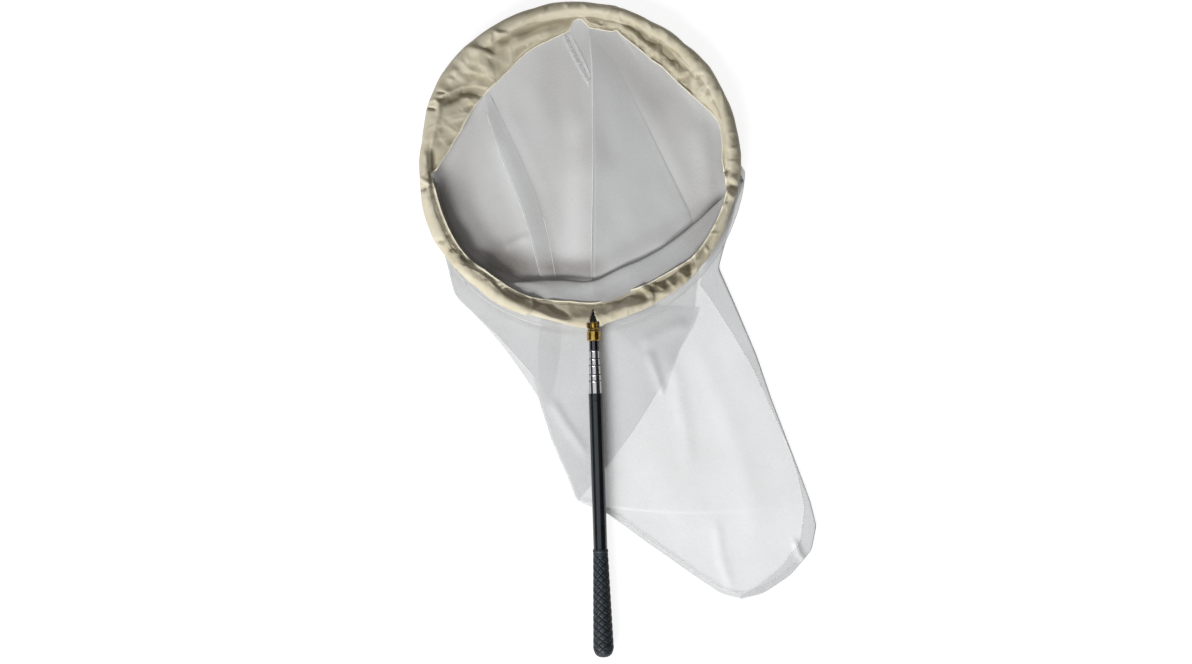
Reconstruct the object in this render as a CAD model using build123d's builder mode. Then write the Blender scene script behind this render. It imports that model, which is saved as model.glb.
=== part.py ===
"""Hand net with a fabric bag and a seven-section telescopic handle, lying flat as put down.

Frame: +Z up, Z = 0 is the surface it lies on. The handle's axis runs along Y at
X = HANDLE_X, Z = AXIS_Z, grip end towards -Y and the hoop towards +Y. The origin is the
bottom centre of the whole object's box.
"""

from build123d import *
import math
import os

os.makedirs("parts", exist_ok=True)

# ---- driving dimensions, millimetres -------------------------------------------------
HANDLE_X = -26.8          # handle axis
AXIS_Z = 12.0             # height of the handle axis and of the hoop wire
HOOP_X, HOOP_Y = -37.1, 190.0   # hoop centre, 10 mm to the left of the handle axis
HOOP_R = 178.0            # hoop radius at the wire's centre: a 14 inch hoop
WIRE_R = 2.0              # 4 mm spring steel wire
WIRE_BEND_R = 7.0         # bend from the hoop into the neck
TAIL_X = 2.15             # half distance between the two wire tails
TAIL_END_Y = 1.7
SLEEVE_R = 9.0            # canvas sleeve round the wire

CONE_TIP_Y, CONE_BASE_Y = 24.0, 8.7
CONE_BASE_R, CONE_TIP_R = 4.7, 0.7
FERRULE_END_Y = -0.2
STUD_R, STUD_END_Y = 3.95, -13.5        # M8 stud, thread drawn as its major diameter
THREAD_BORE_R = 4.0
SOCKET_FRONT_Y, SOCKET_REAR_Y = -1.0, -12.4
SOCKET_R = 7.9
SPIGOT_END_Y = -22.0

WALL = 0.22               # stage tube wall
GAP = 0.13                # radial space between a stage and the bore it slides in
STAGE_R = [5.55 + 0.35 * k for k in range(6)]       # outer radii of stages 1 to 6
STAGE_FRONT_Y = [-12.4, -23.8, -33.3, -41.0, -51.5, -58.9]
STOP_Y = -322.0           # rear ends of all the stages when pushed in
LIP_LEN = 2.0             # rolled-in front end of a stage
LIP_CLEAR = 0.04
SLEEVE_LEN = 30.0         # friction sleeve at the rear of each stage
SLEEVE_CLEAR = 0.02

TUBE_R = 8.0              # outer tube
TUBE_BORE_R = STAGE_R[5] + GAP
TUBE_FRONT_Y, TUBE_REAR_Y = -76.0, -368.0
COLLAR_R = 8.05
COLLAR_FRONT_Y, COLLAR_REAR_Y = -73.0, -82.4
GRIP_FRONT_Y, GRIP_END_Y = -252.1, -377.0
GRIP_FRONT_R, GRIP_REAR_R = 8.9, 11.95

BAG_T = 1.2               # one laid layer of the bag with its small folds
UPPER_Z = 1.5             # underside of the upper layer
SKIRT_Z0, SKIRT_Z1 = 3.3, 4.5

# Outline of the laid bag outside the hoop, from the hoop's right side round the closed
# end to the hoop's left side.
BAG_OUTLINE = [
    (120.0, 250.0), (148.7, 190.0), (154.9, 169.1), (146.2, 148.6), (137.4, 124.8), (128.5, 96.3), (120.2, 70.1),
    (131.4, 41.0), (142.0, 11.9), (154.9, -17.3), (163.2, -44.0), (175.9, -81.2), (184.2, -109.1),
    (194.9, -137.1), (205.5, -166.1), (213.9, -189.4), (221.2, -215.0), (224.1, -232.3),
    (222.4, -249.5), (216.3, -263.1), (204.4, -275.4), (196.1, -283.2), (184.2, -294.3),
    (172.4, -304.3), (154.9, -313.0), (137.5, -315.9), (116.9, -311.8), (97.7, -300.9),
    (75.2, -285.2), (52.7, -267.2), (30.3, -249.3), (2.1, -230.0), (-17.1, -217.9),
    (-37.3, -202.3), (-52.1, -197.3), (-65.0, -168.1), (-78.0, -142.4), (-86.5, -119.1),
    (-92.6, -95.9), (-96.7, -78.5), (-98.2, -53.2), (-112.5, -32.0), (-129.1, -9.6),
    (-145.8, 8.2), (-162.5, 24.8), (-184.9, 45.0), (-190.0, 67.1), (-193.9, 87.9), (-180.0, 130.0),
]
# Upper layer's edge inside the mouth, left to right.
LIP_LINE = [(-190.0, 110.0), (-150.0, 62.0), (-120.0, 54.0), (-62.0, 54.5), (-36.0, 52.0), (-16.0, 58.0),
            (30.0, 78.0), (70.0, 104.0), (112.0, 149.0), (125.0, 165.0)]
# Hem where the canvas skirt meets the mesh, anticlockwise from the left.
HEM = [
    (-202.5, 184.0), (-199.0, 165.0), (-193.0, 145.0), (-183.5, 125.0), (-177.0, 104.0), (-165.0, 92.0),
    (-149.0, 76.0), (-131.0, 63.0), (-109.0, 49.0), (-95.0, 42.0), (-80.0, 38.5), (-55.0, 36.0),
    (-26.0, 36.5), (-6.0, 40.0), (14.0, 51.0), (33.0, 60.0), (54.0, 73.0), (70.0, 84.0),
    (93.0, 103.0), (110.0, 128.0), (121.0, 157.0), (125.0, 182.0), (127.0, 205.0), (124.0, 232.0),
    (117.0, 245.0), (100.0, 262.0), (84.0, 279.0), (66.0, 298.0), (46.0, 316.0), (28.0, 329.0),
    (6.0, 343.0), (-20.0, 346.0), (-40.0, 348.0), (-58.0, 344.0), (-78.0, 336.0), (-98.0, 323.0),
    (-116.0, 309.0), (-133.0, 296.0), (-148.0, 281.0), (-161.0, 262.0), (-174.0, 243.0),
    (-187.0, 221.0), (-201.0, 197.0),
]
EDGE_SEAM = [(102.0, 50.0), (125.0, -6.0), (166.0, -80.0), (188.0, -135.0), (207.0, -190.0),
             (213.0, -232.0), (203.0, -263.0), (176.0, -290.0), (140.0, -304.0), (108.0, -296.0),
             (60.0, -260.0), (8.0, -222.0), (-40.0, -190.0)]
CENTRE_SEAM = [(-58.0, 338.0), (-30.0, 285.0), (-29.0, 190.0), (-28.5, 60.0)]

AXIS = Axis((HANDLE_X, 0, AXIS_Z), (0, 1, 0))
AXIAL = Plane(origin=(HANDLE_X, 0, AXIS_Z), x_dir=(1, 0, 0), z_dir=(0, 0, 1))
HOOP_PLANE = Plane(origin=(HANDLE_X, 0, AXIS_Z), x_dir=(1, 0, 0), z_dir=(0, 0, 1))

# ---- hoop wire's centreline ----------------------------------------------------------
dx = HOOP_X - HANDLE_X
sin_r = (TAIL_X + WIRE_BEND_R - dx) / (HOOP_R + WIRE_BEND_R)
sin_l = (TAIL_X + WIRE_BEND_R + dx) / (HOOP_R + WIRE_BEND_R)
phi_r, phi_l = math.degrees(math.asin(sin_r)), math.degrees(math.asin(sin_l))
yt_r = HOOP_Y - (HOOP_R + WIRE_BEND_R) * math.cos(math.radians(phi_r))
yt_l = HOOP_Y - (HOOP_R + WIRE_BEND_R) * math.cos(math.radians(phi_l))

with BuildLine(HOOP_PLANE) as wire_line:
    Line((TAIL_X, TAIL_END_Y), (TAIL_X, yt_r))
    CenterArc((TAIL_X + WIRE_BEND_R, yt_r), WIRE_BEND_R, 180, -(90 - phi_r))
    CenterArc((dx, HOOP_Y), HOOP_R, -90 + phi_r, 360 - phi_r - phi_l)
    CenterArc((-TAIL_X - WIRE_BEND_R, yt_l), WIRE_BEND_R, 90 - phi_l, -(90 - phi_l))
    Line((-TAIL_X, yt_l), (-TAIL_X, TAIL_END_Y))

TAIL_START = Plane(origin=(HANDLE_X + TAIL_X, TAIL_END_Y, AXIS_Z), x_dir=(1, 0, 0), z_dir=(0, 1, 0))

with BuildPart() as hoop_wire:
    with BuildSketch(TAIL_START):
        Circle(WIRE_R)
    sweep(path=wire_line.wire())
hoop_wire.part.label = "hoop_wire"

# the room the wire takes in the pieces round it
with BuildPart() as wire_room:
    with BuildSketch(TAIL_START):
        Circle(WIRE_R + 0.06)
    sweep(path=wire_line.wire())

# ---- neck: cone, ferrule, stud -------------------------------------------------------
with BuildPart() as neck_cone:
    with BuildSketch(AXIAL):
        with BuildLine():
            tip = CONE_TIP_Y - CONE_TIP_R
            Line((0, CONE_BASE_Y), (CONE_BASE_R - 0.3, CONE_BASE_Y))
            Line((CONE_BASE_R - 0.3, CONE_BASE_Y), (CONE_BASE_R, CONE_BASE_Y + 0.3))
            Line((CONE_BASE_R, CONE_BASE_Y + 0.3), (CONE_BASE_R - 0.15, CONE_BASE_Y + 1.8))
            Line((CONE_BASE_R - 0.15, CONE_BASE_Y + 1.8), (CONE_TIP_R, tip))
            Line((CONE_TIP_R, tip), (CONE_TIP_R * 0.6, CONE_TIP_Y - 0.2))
            Line((CONE_TIP_R * 0.6, CONE_TIP_Y - 0.2), (0, CONE_TIP_Y))
            Line((0, CONE_TIP_Y), (0, CONE_BASE_Y))
        make_face()
    revolve(axis=AXIS)
    add(wire_room.part, mode=Mode.SUBTRACT)
neck_cone.part.label = "neck_cone"

with BuildPart() as ferrule:
    with BuildSketch(AXIAL):
        with BuildLine():
            Polyline(
                (0, CONE_BASE_Y), (4.5, CONE_BASE_Y), (4.75, 8.3), (4.45, 7.9), (4.45, 7.1),
                (5.15, 6.6), (5.35, 5.4), (5.35, 4.8), (4.8, 4.3), (4.8, 2.9), (5.35, 2.4),
                (5.75, 1.4), (6.25, 0.9), (6.4, 0.5), (6.4, 0.1), (6.1, FERRULE_END_Y),
                (0, FERRULE_END_Y), close=True,
            )
        make_face()
    revolve(axis=AXIS)
    add(wire_room.part, mode=Mode.SUBTRACT)
    with BuildSketch(Plane(origin=(HANDLE_X, FERRULE_END_Y, AXIS_Z), x_dir=(1, 0, 0), z_dir=(0, 1, 0))):
        Circle(STUD_R)
    extrude(amount=TAIL_END_Y - 0.3 - FERRULE_END_Y, mode=Mode.SUBTRACT)
ferrule.part.label = "ferrule"

with BuildPart() as threaded_stud:
    with BuildSketch(Plane(origin=(HANDLE_X, STUD_END_Y, AXIS_Z), x_dir=(1, 0, 0), z_dir=(0, 1, 0))):
        Circle(STUD_R)
    extrude(amount=TAIL_END_Y - 0.35 - STUD_END_Y)
    chamfer(threaded_stud.faces().sort_by(Axis.Y)[0].edges(), 0.8)
threaded_stud.part.label = "threaded_stud"

with BuildPart() as thread_washer:
    with BuildSketch(Plane(origin=(HANDLE_X, SOCKET_FRONT_Y + 0.02, AXIS_Z), x_dir=(1, 0, 0), z_dir=(0, 1, 0))):
        Circle(6.7)
        Circle(THREAD_BORE_R + 0.05, mode=Mode.SUBTRACT)
    extrude(amount=FERRULE_END_Y - SOCKET_FRONT_Y - 0.04)
thread_washer.part.label = "thread_washer"

# ---- socket on the thinnest stage ----------------------------------------------------
with BuildPart() as socket:
    with BuildSketch(AXIAL):
        with BuildLine():
            Polyline(
                (THREAD_BORE_R, SOCKET_FRONT_Y), (7.2, SOCKET_FRONT_Y), (7.6, -1.3), (SOCKET_R, -1.9),
                (SOCKET_R, -2.6), (7.7, -2.8), (7.7, -3.1), (SOCKET_R, -3.3), (SOCKET_R, -11.6),
                (7.3, SOCKET_REAR_Y), (STAGE_R[0] - WALL, SOCKET_REAR_Y), (STAGE_R[0] - WALL, SPIGOT_END_Y),
                (THREAD_BORE_R, SPIGOT_END_Y), close=True,
            )
        make_face()
    revolve(axis=AXIS)
socket.part.label = "socket"

# ---- six stainless stages and their friction sleeves ---------------------------------
stages, sleeves = [], []
for k in range(6):
    r, bore, front = STAGE_R[k], STAGE_R[k] - WALL, STAGE_FRONT_Y[k]
    with BuildPart() as stage:
        with BuildSketch(AXIAL):
            with BuildLine():
                if k == 0:
                    Polyline((bore, front), (r, front), (r, STOP_Y), (bore, STOP_Y), close=True)
                else:
                    lip = STAGE_R[k - 1] + LIP_CLEAR
                    Polyline(
                        (lip, front - 0.15), (lip + 0.12, front), (r - 0.05, front), (r + 0.12, front - 0.25),
                        (r + 0.12, front - 0.95), (r, front - 1.2), (r, STOP_Y), (bore, STOP_Y),
                        (bore, front - LIP_LEN - 0.3), (lip, front - LIP_LEN), close=True,
                    )
            make_face()
        revolve(axis=AXIS)
    stage.part.label = f"stage_tube_{k + 1}"
    stages.append(stage.part)

    outer = (STAGE_R[k + 1] - WALL if k < 5 else TUBE_BORE_R) - SLEEVE_CLEAR
    with BuildPart() as friction_sleeve:
        with BuildSketch(AXIAL):
            with BuildLine():
                Polyline((r, STOP_Y), (outer, STOP_Y), (outer, STOP_Y + SLEEVE_LEN), (r, STOP_Y + SLEEVE_LEN), close=True)
            make_face()
        revolve(axis=AXIS)
        with Locations((HANDLE_X, STOP_Y + SLEEVE_LEN / 2, AXIS_Z + r)):
            Box(1.5, SLEEVE_LEN + 2, 4, mode=Mode.SUBTRACT)
    friction_sleeve.part.label = f"friction_sleeve_{k + 1}"
    sleeves.append(friction_sleeve.part)

# ---- handle: tube, front collar, end plug, grip --------------------------------------
with BuildPart() as outer_tube:
    with BuildSketch(AXIAL):
        with BuildLine():
            Polyline((TUBE_BORE_R, TUBE_FRONT_Y), (TUBE_R - 0.35, TUBE_FRONT_Y), (TUBE_R - 0.35, COLLAR_REAR_Y),
                     (TUBE_R, COLLAR_REAR_Y), (TUBE_R, TUBE_REAR_Y), (TUBE_BORE_R, TUBE_REAR_Y), close=True)
        make_face()
    revolve(axis=AXIS)
outer_tube.part.label = "outer_tube"

with BuildPart() as front_collar:
    with BuildSketch(AXIAL):
        with BuildLine():
            lip = STAGE_R[5] + LIP_CLEAR
            Polyline(
                (lip, COLLAR_FRONT_Y - 0.2), (lip + 0.15, COLLAR_FRONT_Y), (COLLAR_R - 0.35, COLLAR_FRONT_Y),
                (COLLAR_R, COLLAR_FRONT_Y - 0.5), (COLLAR_R, COLLAR_REAR_Y + 1.9), (COLLAR_R - 0.3, COLLAR_REAR_Y + 1.6),
                (COLLAR_R - 0.3, COLLAR_REAR_Y + 1.1), (COLLAR_R, COLLAR_REAR_Y + 0.8), (COLLAR_R, COLLAR_REAR_Y),
                (TUBE_R - 0.35, COLLAR_REAR_Y), (TUBE_R - 0.35, TUBE_FRONT_Y), (lip, TUBE_FRONT_Y), close=True,
            )
        make_face()
    revolve(axis=AXIS)
front_collar.part.label = "front_collar"

with BuildPart() as end_plug:
    with BuildSketch(Plane(origin=(HANDLE_X, TUBE_REAR_Y, AXIS_Z), x_dir=(1, 0, 0), z_dir=(0, 1, 0))):
        Circle(TUBE_BORE_R)
    extrude(amount=STOP_Y - 0.3 - TUBE_REAR_Y)
    chamfer(end_plug.faces().sort_by(Axis.Y)[-1].edges(), 0.6)
end_plug.part.label = "end_plug"

with BuildPart() as grip:
    with BuildSketch(AXIAL):
        with BuildLine():
            Polyline((TUBE_R, TUBE_REAR_Y), (TUBE_R, GRIP_FRONT_Y), (GRIP_FRONT_R - 0.4, GRIP_FRONT_Y),
                     (GRIP_FRONT_R, GRIP_FRONT_Y - 0.6), (GRIP_REAR_R, GRIP_END_Y + 7.0),
                     (GRIP_REAR_R - 0.25, GRIP_END_Y + 4.6), (GRIP_REAR_R - 1.3, GRIP_END_Y + 2.4),
                     (GRIP_REAR_R - 3.4, GRIP_END_Y + 0.9), (GRIP_REAR_R - 6.4, GRIP_END_Y + 0.2),
                     (2.0, GRIP_END_Y), (0, GRIP_END_Y))
            Line((0, GRIP_END_Y), (0, TUBE_REAR_Y))
            Line((0, TUBE_REAR_Y), (TUBE_R, TUBE_REAR_Y))
        make_face()
    revolve(axis=AXIS)
grip.part.label = "grip"

# ---- canvas sleeve round the wire, and the skirt inside it ---------------------------
with BuildPart() as canvas_sleeve:
    with Locations((HOOP_X, HOOP_Y, AXIS_Z)):
        Torus(HOOP_R, SLEEVE_R)
    with Locations((HANDLE_X, 12.0, AXIS_Z)):
        Box(13.6, 40.0, 30.0, mode=Mode.SUBTRACT)
    add(wire_room.part, mode=Mode.SUBTRACT)
canvas_sleeve.part.label = "canvas_sleeve"

with BuildPart() as canvas_skirt:
    with BuildSketch(Plane.XY.offset(SKIRT_Z0)):
        with Locations((HOOP_X, HOOP_Y)):
            Circle(172.9)
        with BuildLine():
            Polyline(HEM, close=True)
        make_face(mode=Mode.SUBTRACT)
    extrude(amount=SKIRT_Z1 - SKIRT_Z0)
canvas_skirt.part.label = "canvas_skirt"

with BuildPart() as mouth_tape:
    with BuildSketch(Plane.XY.offset(SKIRT_Z0)):
        with BuildLine():
            Polyline(HEM, close=True)
        make_face()
        with BuildSketch(Plane.XY.offset(SKIRT_Z0), mode=Mode.SUBTRACT):
            with BuildLine():
                Polyline(HEM, close=True)
            make_face()
            offset(amount=-3.0, kind=Kind.INTERSECTION, mode=Mode.REPLACE)
    extrude(amount=SKIRT_Z1 - SKIRT_Z0)
mouth_tape.part.label = "mouth_tape"

# ---- bag: two layers as laid, and their sewn seams -----------------------------------
with BuildPart() as bag_lower_panel:
    with BuildSketch(Plane.XY):
        with Locations((HOOP_X, HOOP_Y)):
            Circle(172.0)
        with BuildLine():
            Polyline(BAG_OUTLINE, close=True)
        make_face()
    extrude(amount=BAG_T)
bag_lower_panel.part.label = "bag_lower_panel"

with BuildPart() as bag_upper_panel:
    with BuildSketch(Plane.XY.offset(UPPER_Z)):
        with BuildLine():
            Polyline(BAG_OUTLINE[1:-1] + LIP_LINE, close=True)
        make_face()
    extrude(amount=BAG_T)
bag_upper_panel.part.label = "bag_upper_panel"

with BuildPart() as bag_edge_seam:
    with BuildSketch(Plane.XY.offset(BAG_T + 0.05)):
        with BuildLine():
            Polyline(EDGE_SEAM)
        trace(line_width=6.0)
    extrude(amount=UPPER_Z - BAG_T - 0.1)
bag_edge_seam.part.label = "bag_edge_seam"

with BuildPart() as bag_centre_seam:
    with BuildSketch(Plane.XY.offset(BAG_T + 0.05)):
        with BuildLine():
            Polyline(CENTRE_SEAM)
        trace(line_width=6.0)
    extrude(amount=UPPER_Z - BAG_T - 0.1)
bag_centre_seam.part.label = "bag_centre_seam"

for piece in [
    hoop_wire.part, neck_cone.part, ferrule.part, threaded_stud.part, thread_washer.part, socket.part,
    *stages, *sleeves, outer_tube.part, front_collar.part, end_plug.part, grip.part,
    canvas_sleeve.part, canvas_skirt.part, mouth_tape.part,
    bag_lower_panel.part, bag_upper_panel.part, bag_edge_seam.part, bag_centre_seam.part,
]:
    export_step(piece, f"parts/{piece.label}.step")
    print(piece.label, len(piece.solids()), round(piece.volume, 1), piece.is_valid)
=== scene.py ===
import bpy
import math
import numpy as np
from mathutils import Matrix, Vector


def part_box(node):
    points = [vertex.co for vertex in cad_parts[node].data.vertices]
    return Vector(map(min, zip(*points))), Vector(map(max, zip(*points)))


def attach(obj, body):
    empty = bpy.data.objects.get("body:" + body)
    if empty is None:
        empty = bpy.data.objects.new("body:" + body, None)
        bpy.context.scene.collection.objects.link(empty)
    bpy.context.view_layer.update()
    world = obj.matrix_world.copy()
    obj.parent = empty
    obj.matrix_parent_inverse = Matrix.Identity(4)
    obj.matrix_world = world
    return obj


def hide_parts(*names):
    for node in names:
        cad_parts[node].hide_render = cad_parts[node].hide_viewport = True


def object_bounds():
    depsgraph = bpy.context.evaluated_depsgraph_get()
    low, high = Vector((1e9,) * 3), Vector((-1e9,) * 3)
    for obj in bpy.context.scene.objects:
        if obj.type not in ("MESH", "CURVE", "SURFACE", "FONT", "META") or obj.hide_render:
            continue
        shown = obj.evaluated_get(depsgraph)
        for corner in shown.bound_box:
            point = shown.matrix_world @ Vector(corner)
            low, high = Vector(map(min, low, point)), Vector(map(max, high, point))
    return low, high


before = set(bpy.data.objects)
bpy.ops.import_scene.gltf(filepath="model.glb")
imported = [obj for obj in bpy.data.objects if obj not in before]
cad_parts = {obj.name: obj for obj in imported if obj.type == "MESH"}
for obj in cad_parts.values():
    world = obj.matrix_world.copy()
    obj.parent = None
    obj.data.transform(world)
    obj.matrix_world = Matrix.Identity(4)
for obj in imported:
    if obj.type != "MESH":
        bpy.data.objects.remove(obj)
CAD_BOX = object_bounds()
LO, HI = CAD_BOX
MM = 0.001
RNG = np.random.RandomState(7)

# ---- the net's own geometry, read from the frame, in millimetres -----------------------
_w0, _w1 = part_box("hoop_wire")
_t0, _t1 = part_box("outer_tube")
_s0, _s1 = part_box("canvas_sleeve")
HX = (_t0[0] + _t1[0]) / 2 * 1000          # handle axis
AZ = (_t0[2] + _t1[2]) / 2 * 1000          # height of the handle and the wire
CX = (_s0[0] + _s1[0]) / 2 * 1000          # hoop centre
CY = (_s0[1] + _s1[1]) / 2 * 1000
RO = (_s1[0] - _s0[0]) / 2 * 1000          # outside of the canvas sleeve
RM = (_w1[0] - _w0[0]) / 2 * 1000 - 2.0    # hoop radius at the wire


# ======================================================================================
# Materials
# ======================================================================================
class Mat:
    """A node material with a Principled shader, and short ways to add texture nodes."""

    def __init__(self, name, **values):
        self.m = bpy.data.materials.new(name)
        self.m.use_nodes = True
        self.t = self.m.node_tree
        self.b = self.t.nodes["Principled BSDF"]
        self.out = self.t.nodes["Material Output"]
        for k, v in values.items():
            self.b.inputs[k.replace("_", " ")].default_value = v
        self._co = None

    def node(self, kind, **props):
        n = self.t.nodes.new(kind)
        for k, v in props.items():
            setattr(n, k, v)
        return n

    def link(self, a, b):
        self.t.links.new(a, b)

    def co(self):
        if self._co is None:
            self._co = self.node("ShaderNodeTexCoord").outputs["Object"]
        return self._co

    def scaled(self, x, y, z, rot=(0, 0, 0)):
        n = self.node("ShaderNodeMapping")
        n.inputs["Scale"].default_value = (x, y, z)
        n.inputs["Rotation"].default_value = rot
        self.link(self.co(), n.inputs["Vector"])
        return n.outputs["Vector"]

    def noise(self, scale, detail=3.0, rough=0.55, vec=None):
        n = self.node("ShaderNodeTexNoise")
        n.inputs["Scale"].default_value = scale
        n.inputs["Detail"].default_value = detail
        n.inputs["Roughness"].default_value = rough
        self.link(vec if vec is not None else self.co(), n.inputs["Vector"])
        return n.outputs["Fac"]

    def wave(self, scale, vec=None, direction="X", distortion=0.0):
        n = self.node("ShaderNodeTexWave", wave_type="BANDS", bands_direction=direction)
        n.inputs["Scale"].default_value = scale
        n.inputs["Distortion"].default_value = distortion
        n.inputs["Detail"].default_value = 1.0
        self.link(vec if vec is not None else self.co(), n.inputs["Vector"])
        return n.outputs["Fac"]

    def ramp(self, fac, stops):
        n = self.node("ShaderNodeValToRGB")
        e = n.color_ramp.elements
        while len(e) < len(stops):
            e.new(0.5)
        for el, (pos, c) in zip(e, stops):
            el.position = pos
            el.color = c if len(c) == 4 else (*c, 1.0)
        self.link(fac, n.inputs["Fac"])
        return n.outputs["Color"]

    def math(self, op, a, b=None, c=None):
        n = self.node("ShaderNodeMath", operation=op)
        for i, v in enumerate((a, b, c)):
            if v is None:
                continue
            if isinstance(v, (int, float)):
                n.inputs[i].default_value = v
            else:
                self.link(v, n.inputs[i])
        return n.outputs[0]

    def mix(self, fac, a, b, blend="MIX"):
        n = self.node("ShaderNodeMix", data_type="RGBA", blend_type=blend)
        for sock, v in ((n.inputs[0], fac), (n.inputs[6], a), (n.inputs[7], b)):
            if isinstance(v, (int, float)):
                sock.default_value = v
            elif isinstance(v, tuple):
                sock.default_value = v if len(v) == 4 else (*v, 1.0)
            else:
                self.link(v, sock)
        return n.outputs[2]

    def bump(self, height, strength, distance):
        n = self.node("ShaderNodeBump")
        n.inputs["Strength"].default_value = strength
        n.inputs["Distance"].default_value = distance
        self.link(height, n.inputs["Height"])
        self.link(n.outputs["Normal"], self.b.inputs["Normal"])
        return n

    def attr(self, name):
        return self.node("ShaderNodeAttribute", attribute_name=name)


def canvas_material():
    m = Mat("canvas_cotton", Roughness=0.88, Sheen_Weight=0.25, Sheen_Roughness=0.5, Specular_IOR_Level=0.2)
    a = m.attr("weave")
    sep = m.node("ShaderNodeSeparateXYZ")
    m.link(a.outputs["Vector"], sep.inputs[0])
    # plain weave: threads 0.55 mm apart, from the cloth's own lengthwise and crosswise measure
    u = m.math("SINE", m.math("MULTIPLY", sep.outputs[0], 2 * math.pi / 0.62))
    v = m.math("SINE", m.math("MULTIPLY", sep.outputs[1], 2 * math.pi / 0.62))
    weave = m.math("ADD", m.math("MULTIPLY", m.math("MULTIPLY", u, v), 0.5), 0.5)
    cloud = m.noise(26.0, 4.0, 0.6)
    slub = m.noise(900.0, 2.0, 0.7)
    base = m.ramp(cloud, [(0.30, (0.410, 0.368, 0.268)), (0.55, (0.470, 0.430, 0.332)), (0.78, (0.530, 0.496, 0.400))])
    base = m.mix(m.math("MULTIPLY", slub, 0.20), base, (0.34, 0.28, 0.17))
    base = m.mix(m.math("MULTIPLY", weave, 0.12), base, (0.28, 0.24, 0.15))
    # painted shade: darker brown in the hollows and along listed lines where the cloth lies in shade
    base = m.mix(m.attr("canvas_painted_shade").outputs["Fac"], base, (0.150, 0.118, 0.062))
    # little dark seed specks, as unbleached cotton has
    speck = m.node("ShaderNodeTexVoronoi", feature="F1")
    speck.inputs["Scale"].default_value = 210.0
    m.link(m.co(), speck.inputs["Vector"])
    dots = m.ramp(speck.outputs["Distance"], [(0.0, (1, 1, 1)), (0.09, (0, 0, 0))])
    pick = m.math("GREATER_THAN", m.noise(70.0, 1.0), 0.62)
    base = m.mix(m.math("MULTIPLY", m.math("MULTIPLY", dots, pick), 0.6), base, (0.22, 0.15, 0.08))
    m.link(base, m.b.inputs["Base Color"])
    h = m.math("ADD", m.math("MULTIPLY", weave, 0.6), m.math("MULTIPLY", m.noise(340.0, 3.0, 0.6), 0.8))
    m.bump(h, 0.55, 0.00035)
    return m.m


def tape_material():
    m = Mat("mouth_tape_cotton", Roughness=0.85, Sheen_Weight=0.2)
    base = m.ramp(m.noise(160.0, 3.0), [(0.3, (0.50, 0.46, 0.35)), (0.7, (0.62, 0.58, 0.46))])
    m.link(base, m.b.inputs["Base Color"])
    m.bump(m.noise(1500.0, 2.0), 0.4, 0.0002)
    return m.m


def thread_material(name, c0, c1):
    m = Mat(name, Roughness=0.7, Sheen_Weight=0.3)
    m.link(m.ramp(m.noise(700.0, 2.0), [(0.3, c0), (0.7, c1)]), m.b.inputs["Base Color"])
    m.bump(m.noise(3000.0, 2.0), 0.4, 0.0001)
    return m.m


def mesh_material():
    """Fine voile: an even open weave. The share of thread to hole is the alpha."""
    m = Mat("mesh_voile", Roughness=0.75, Specular_IOR_Level=0.25, Sheen_Weight=0.15)
    painted_shade_tone = m.attr("painted_shade_tone").outputs["Fac"]
    a = m.attr("weave")
    sep = m.node("ShaderNodeSeparateXYZ")
    m.link(a.outputs["Vector"], sep.inputs[0])
    u = m.math("SINE", m.math("MULTIPLY", sep.outputs[0], 2 * math.pi / 0.9))
    v = m.math("SINE", m.math("MULTIPLY", sep.outputs[1], 2 * math.pi / 0.9))
    grid = m.math("MAXIMUM", u, v)
    grain = m.noise(620.0, 2.0, 0.6)
    cloud = m.noise(11.0, 3.0, 0.5)
    # painted shade: the net inside the hoop, where this attribute is high, takes the darker colour and more opacity
    light = m.ramp(cloud, [(0.3, (0.540, 0.541, 0.540)), (0.7, (0.605, 0.608, 0.612))])
    dark = m.ramp(cloud, [(0.3, (0.330, 0.322, 0.312)), (0.5, (0.370, 0.366, 0.362)), (0.7, (0.395, 0.397, 0.397))])
    base = m.mix(painted_shade_tone, light, dark)
    # painted shade where the shade value is above nought, darker and more opaque; painted light where it is below
    shade = m.attr("shade").outputs["Fac"]
    base = m.mix(shade, base, (0.150, 0.135, 0.118))
    base = m.mix(m.math("MULTIPLY", shade, -1.0), base, (0.62, 0.62, 0.63))
    # painted highlight: the fold beads take a whiter colour; their extra alpha is the doubled cloth
    fold_highlight = m.attr("fold").outputs["Fac"]
    base = m.mix(fold_highlight, base, (0.80, 0.80, 0.80))
    base = m.mix(m.math("MULTIPLY", grain, 0.16), base, (0.85, 0.85, 0.85))
    m.link(base, m.b.inputs["Base Color"])
    al = m.math("ADD", m.math("MULTIPLY", painted_shade_tone, 0.20), 0.49)
    al = m.math("ADD", al, m.math("MULTIPLY", m.math("SUBTRACT", grain, 0.5), 0.12))
    al = m.math("ADD", al, m.math("MULTIPLY", grid, 0.05))
    al = m.math("ADD", al, m.math("MULTIPLY", fold_highlight, 0.35))
    al = m.math("ADD", al, m.math("MULTIPLY", shade, 0.55))
    m.link(al, m.b.inputs["Alpha"])
    m.bump(m.math("ADD", grain, m.math("MULTIPLY", grid, 0.3)), 0.25, 0.0003)
    return m.m


def seam_material():
    m = Mat("seam_overlock", Roughness=0.75, Sheen_Weight=0.2)
    m.link(m.ramp(m.noise(300.0, 3.0), [(0.3, (0.55, 0.55, 0.54)), (0.7, (0.72, 0.72, 0.71))]), m.b.inputs["Base Color"])
    al = m.math("ADD", m.math("MULTIPLY", m.noise(500.0, 2.0), 0.4), 0.35)
    m.link(al, m.b.inputs["Alpha"])
    m.bump(m.noise(1400.0, 2.0), 0.5, 0.0003)
    return m.m


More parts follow.
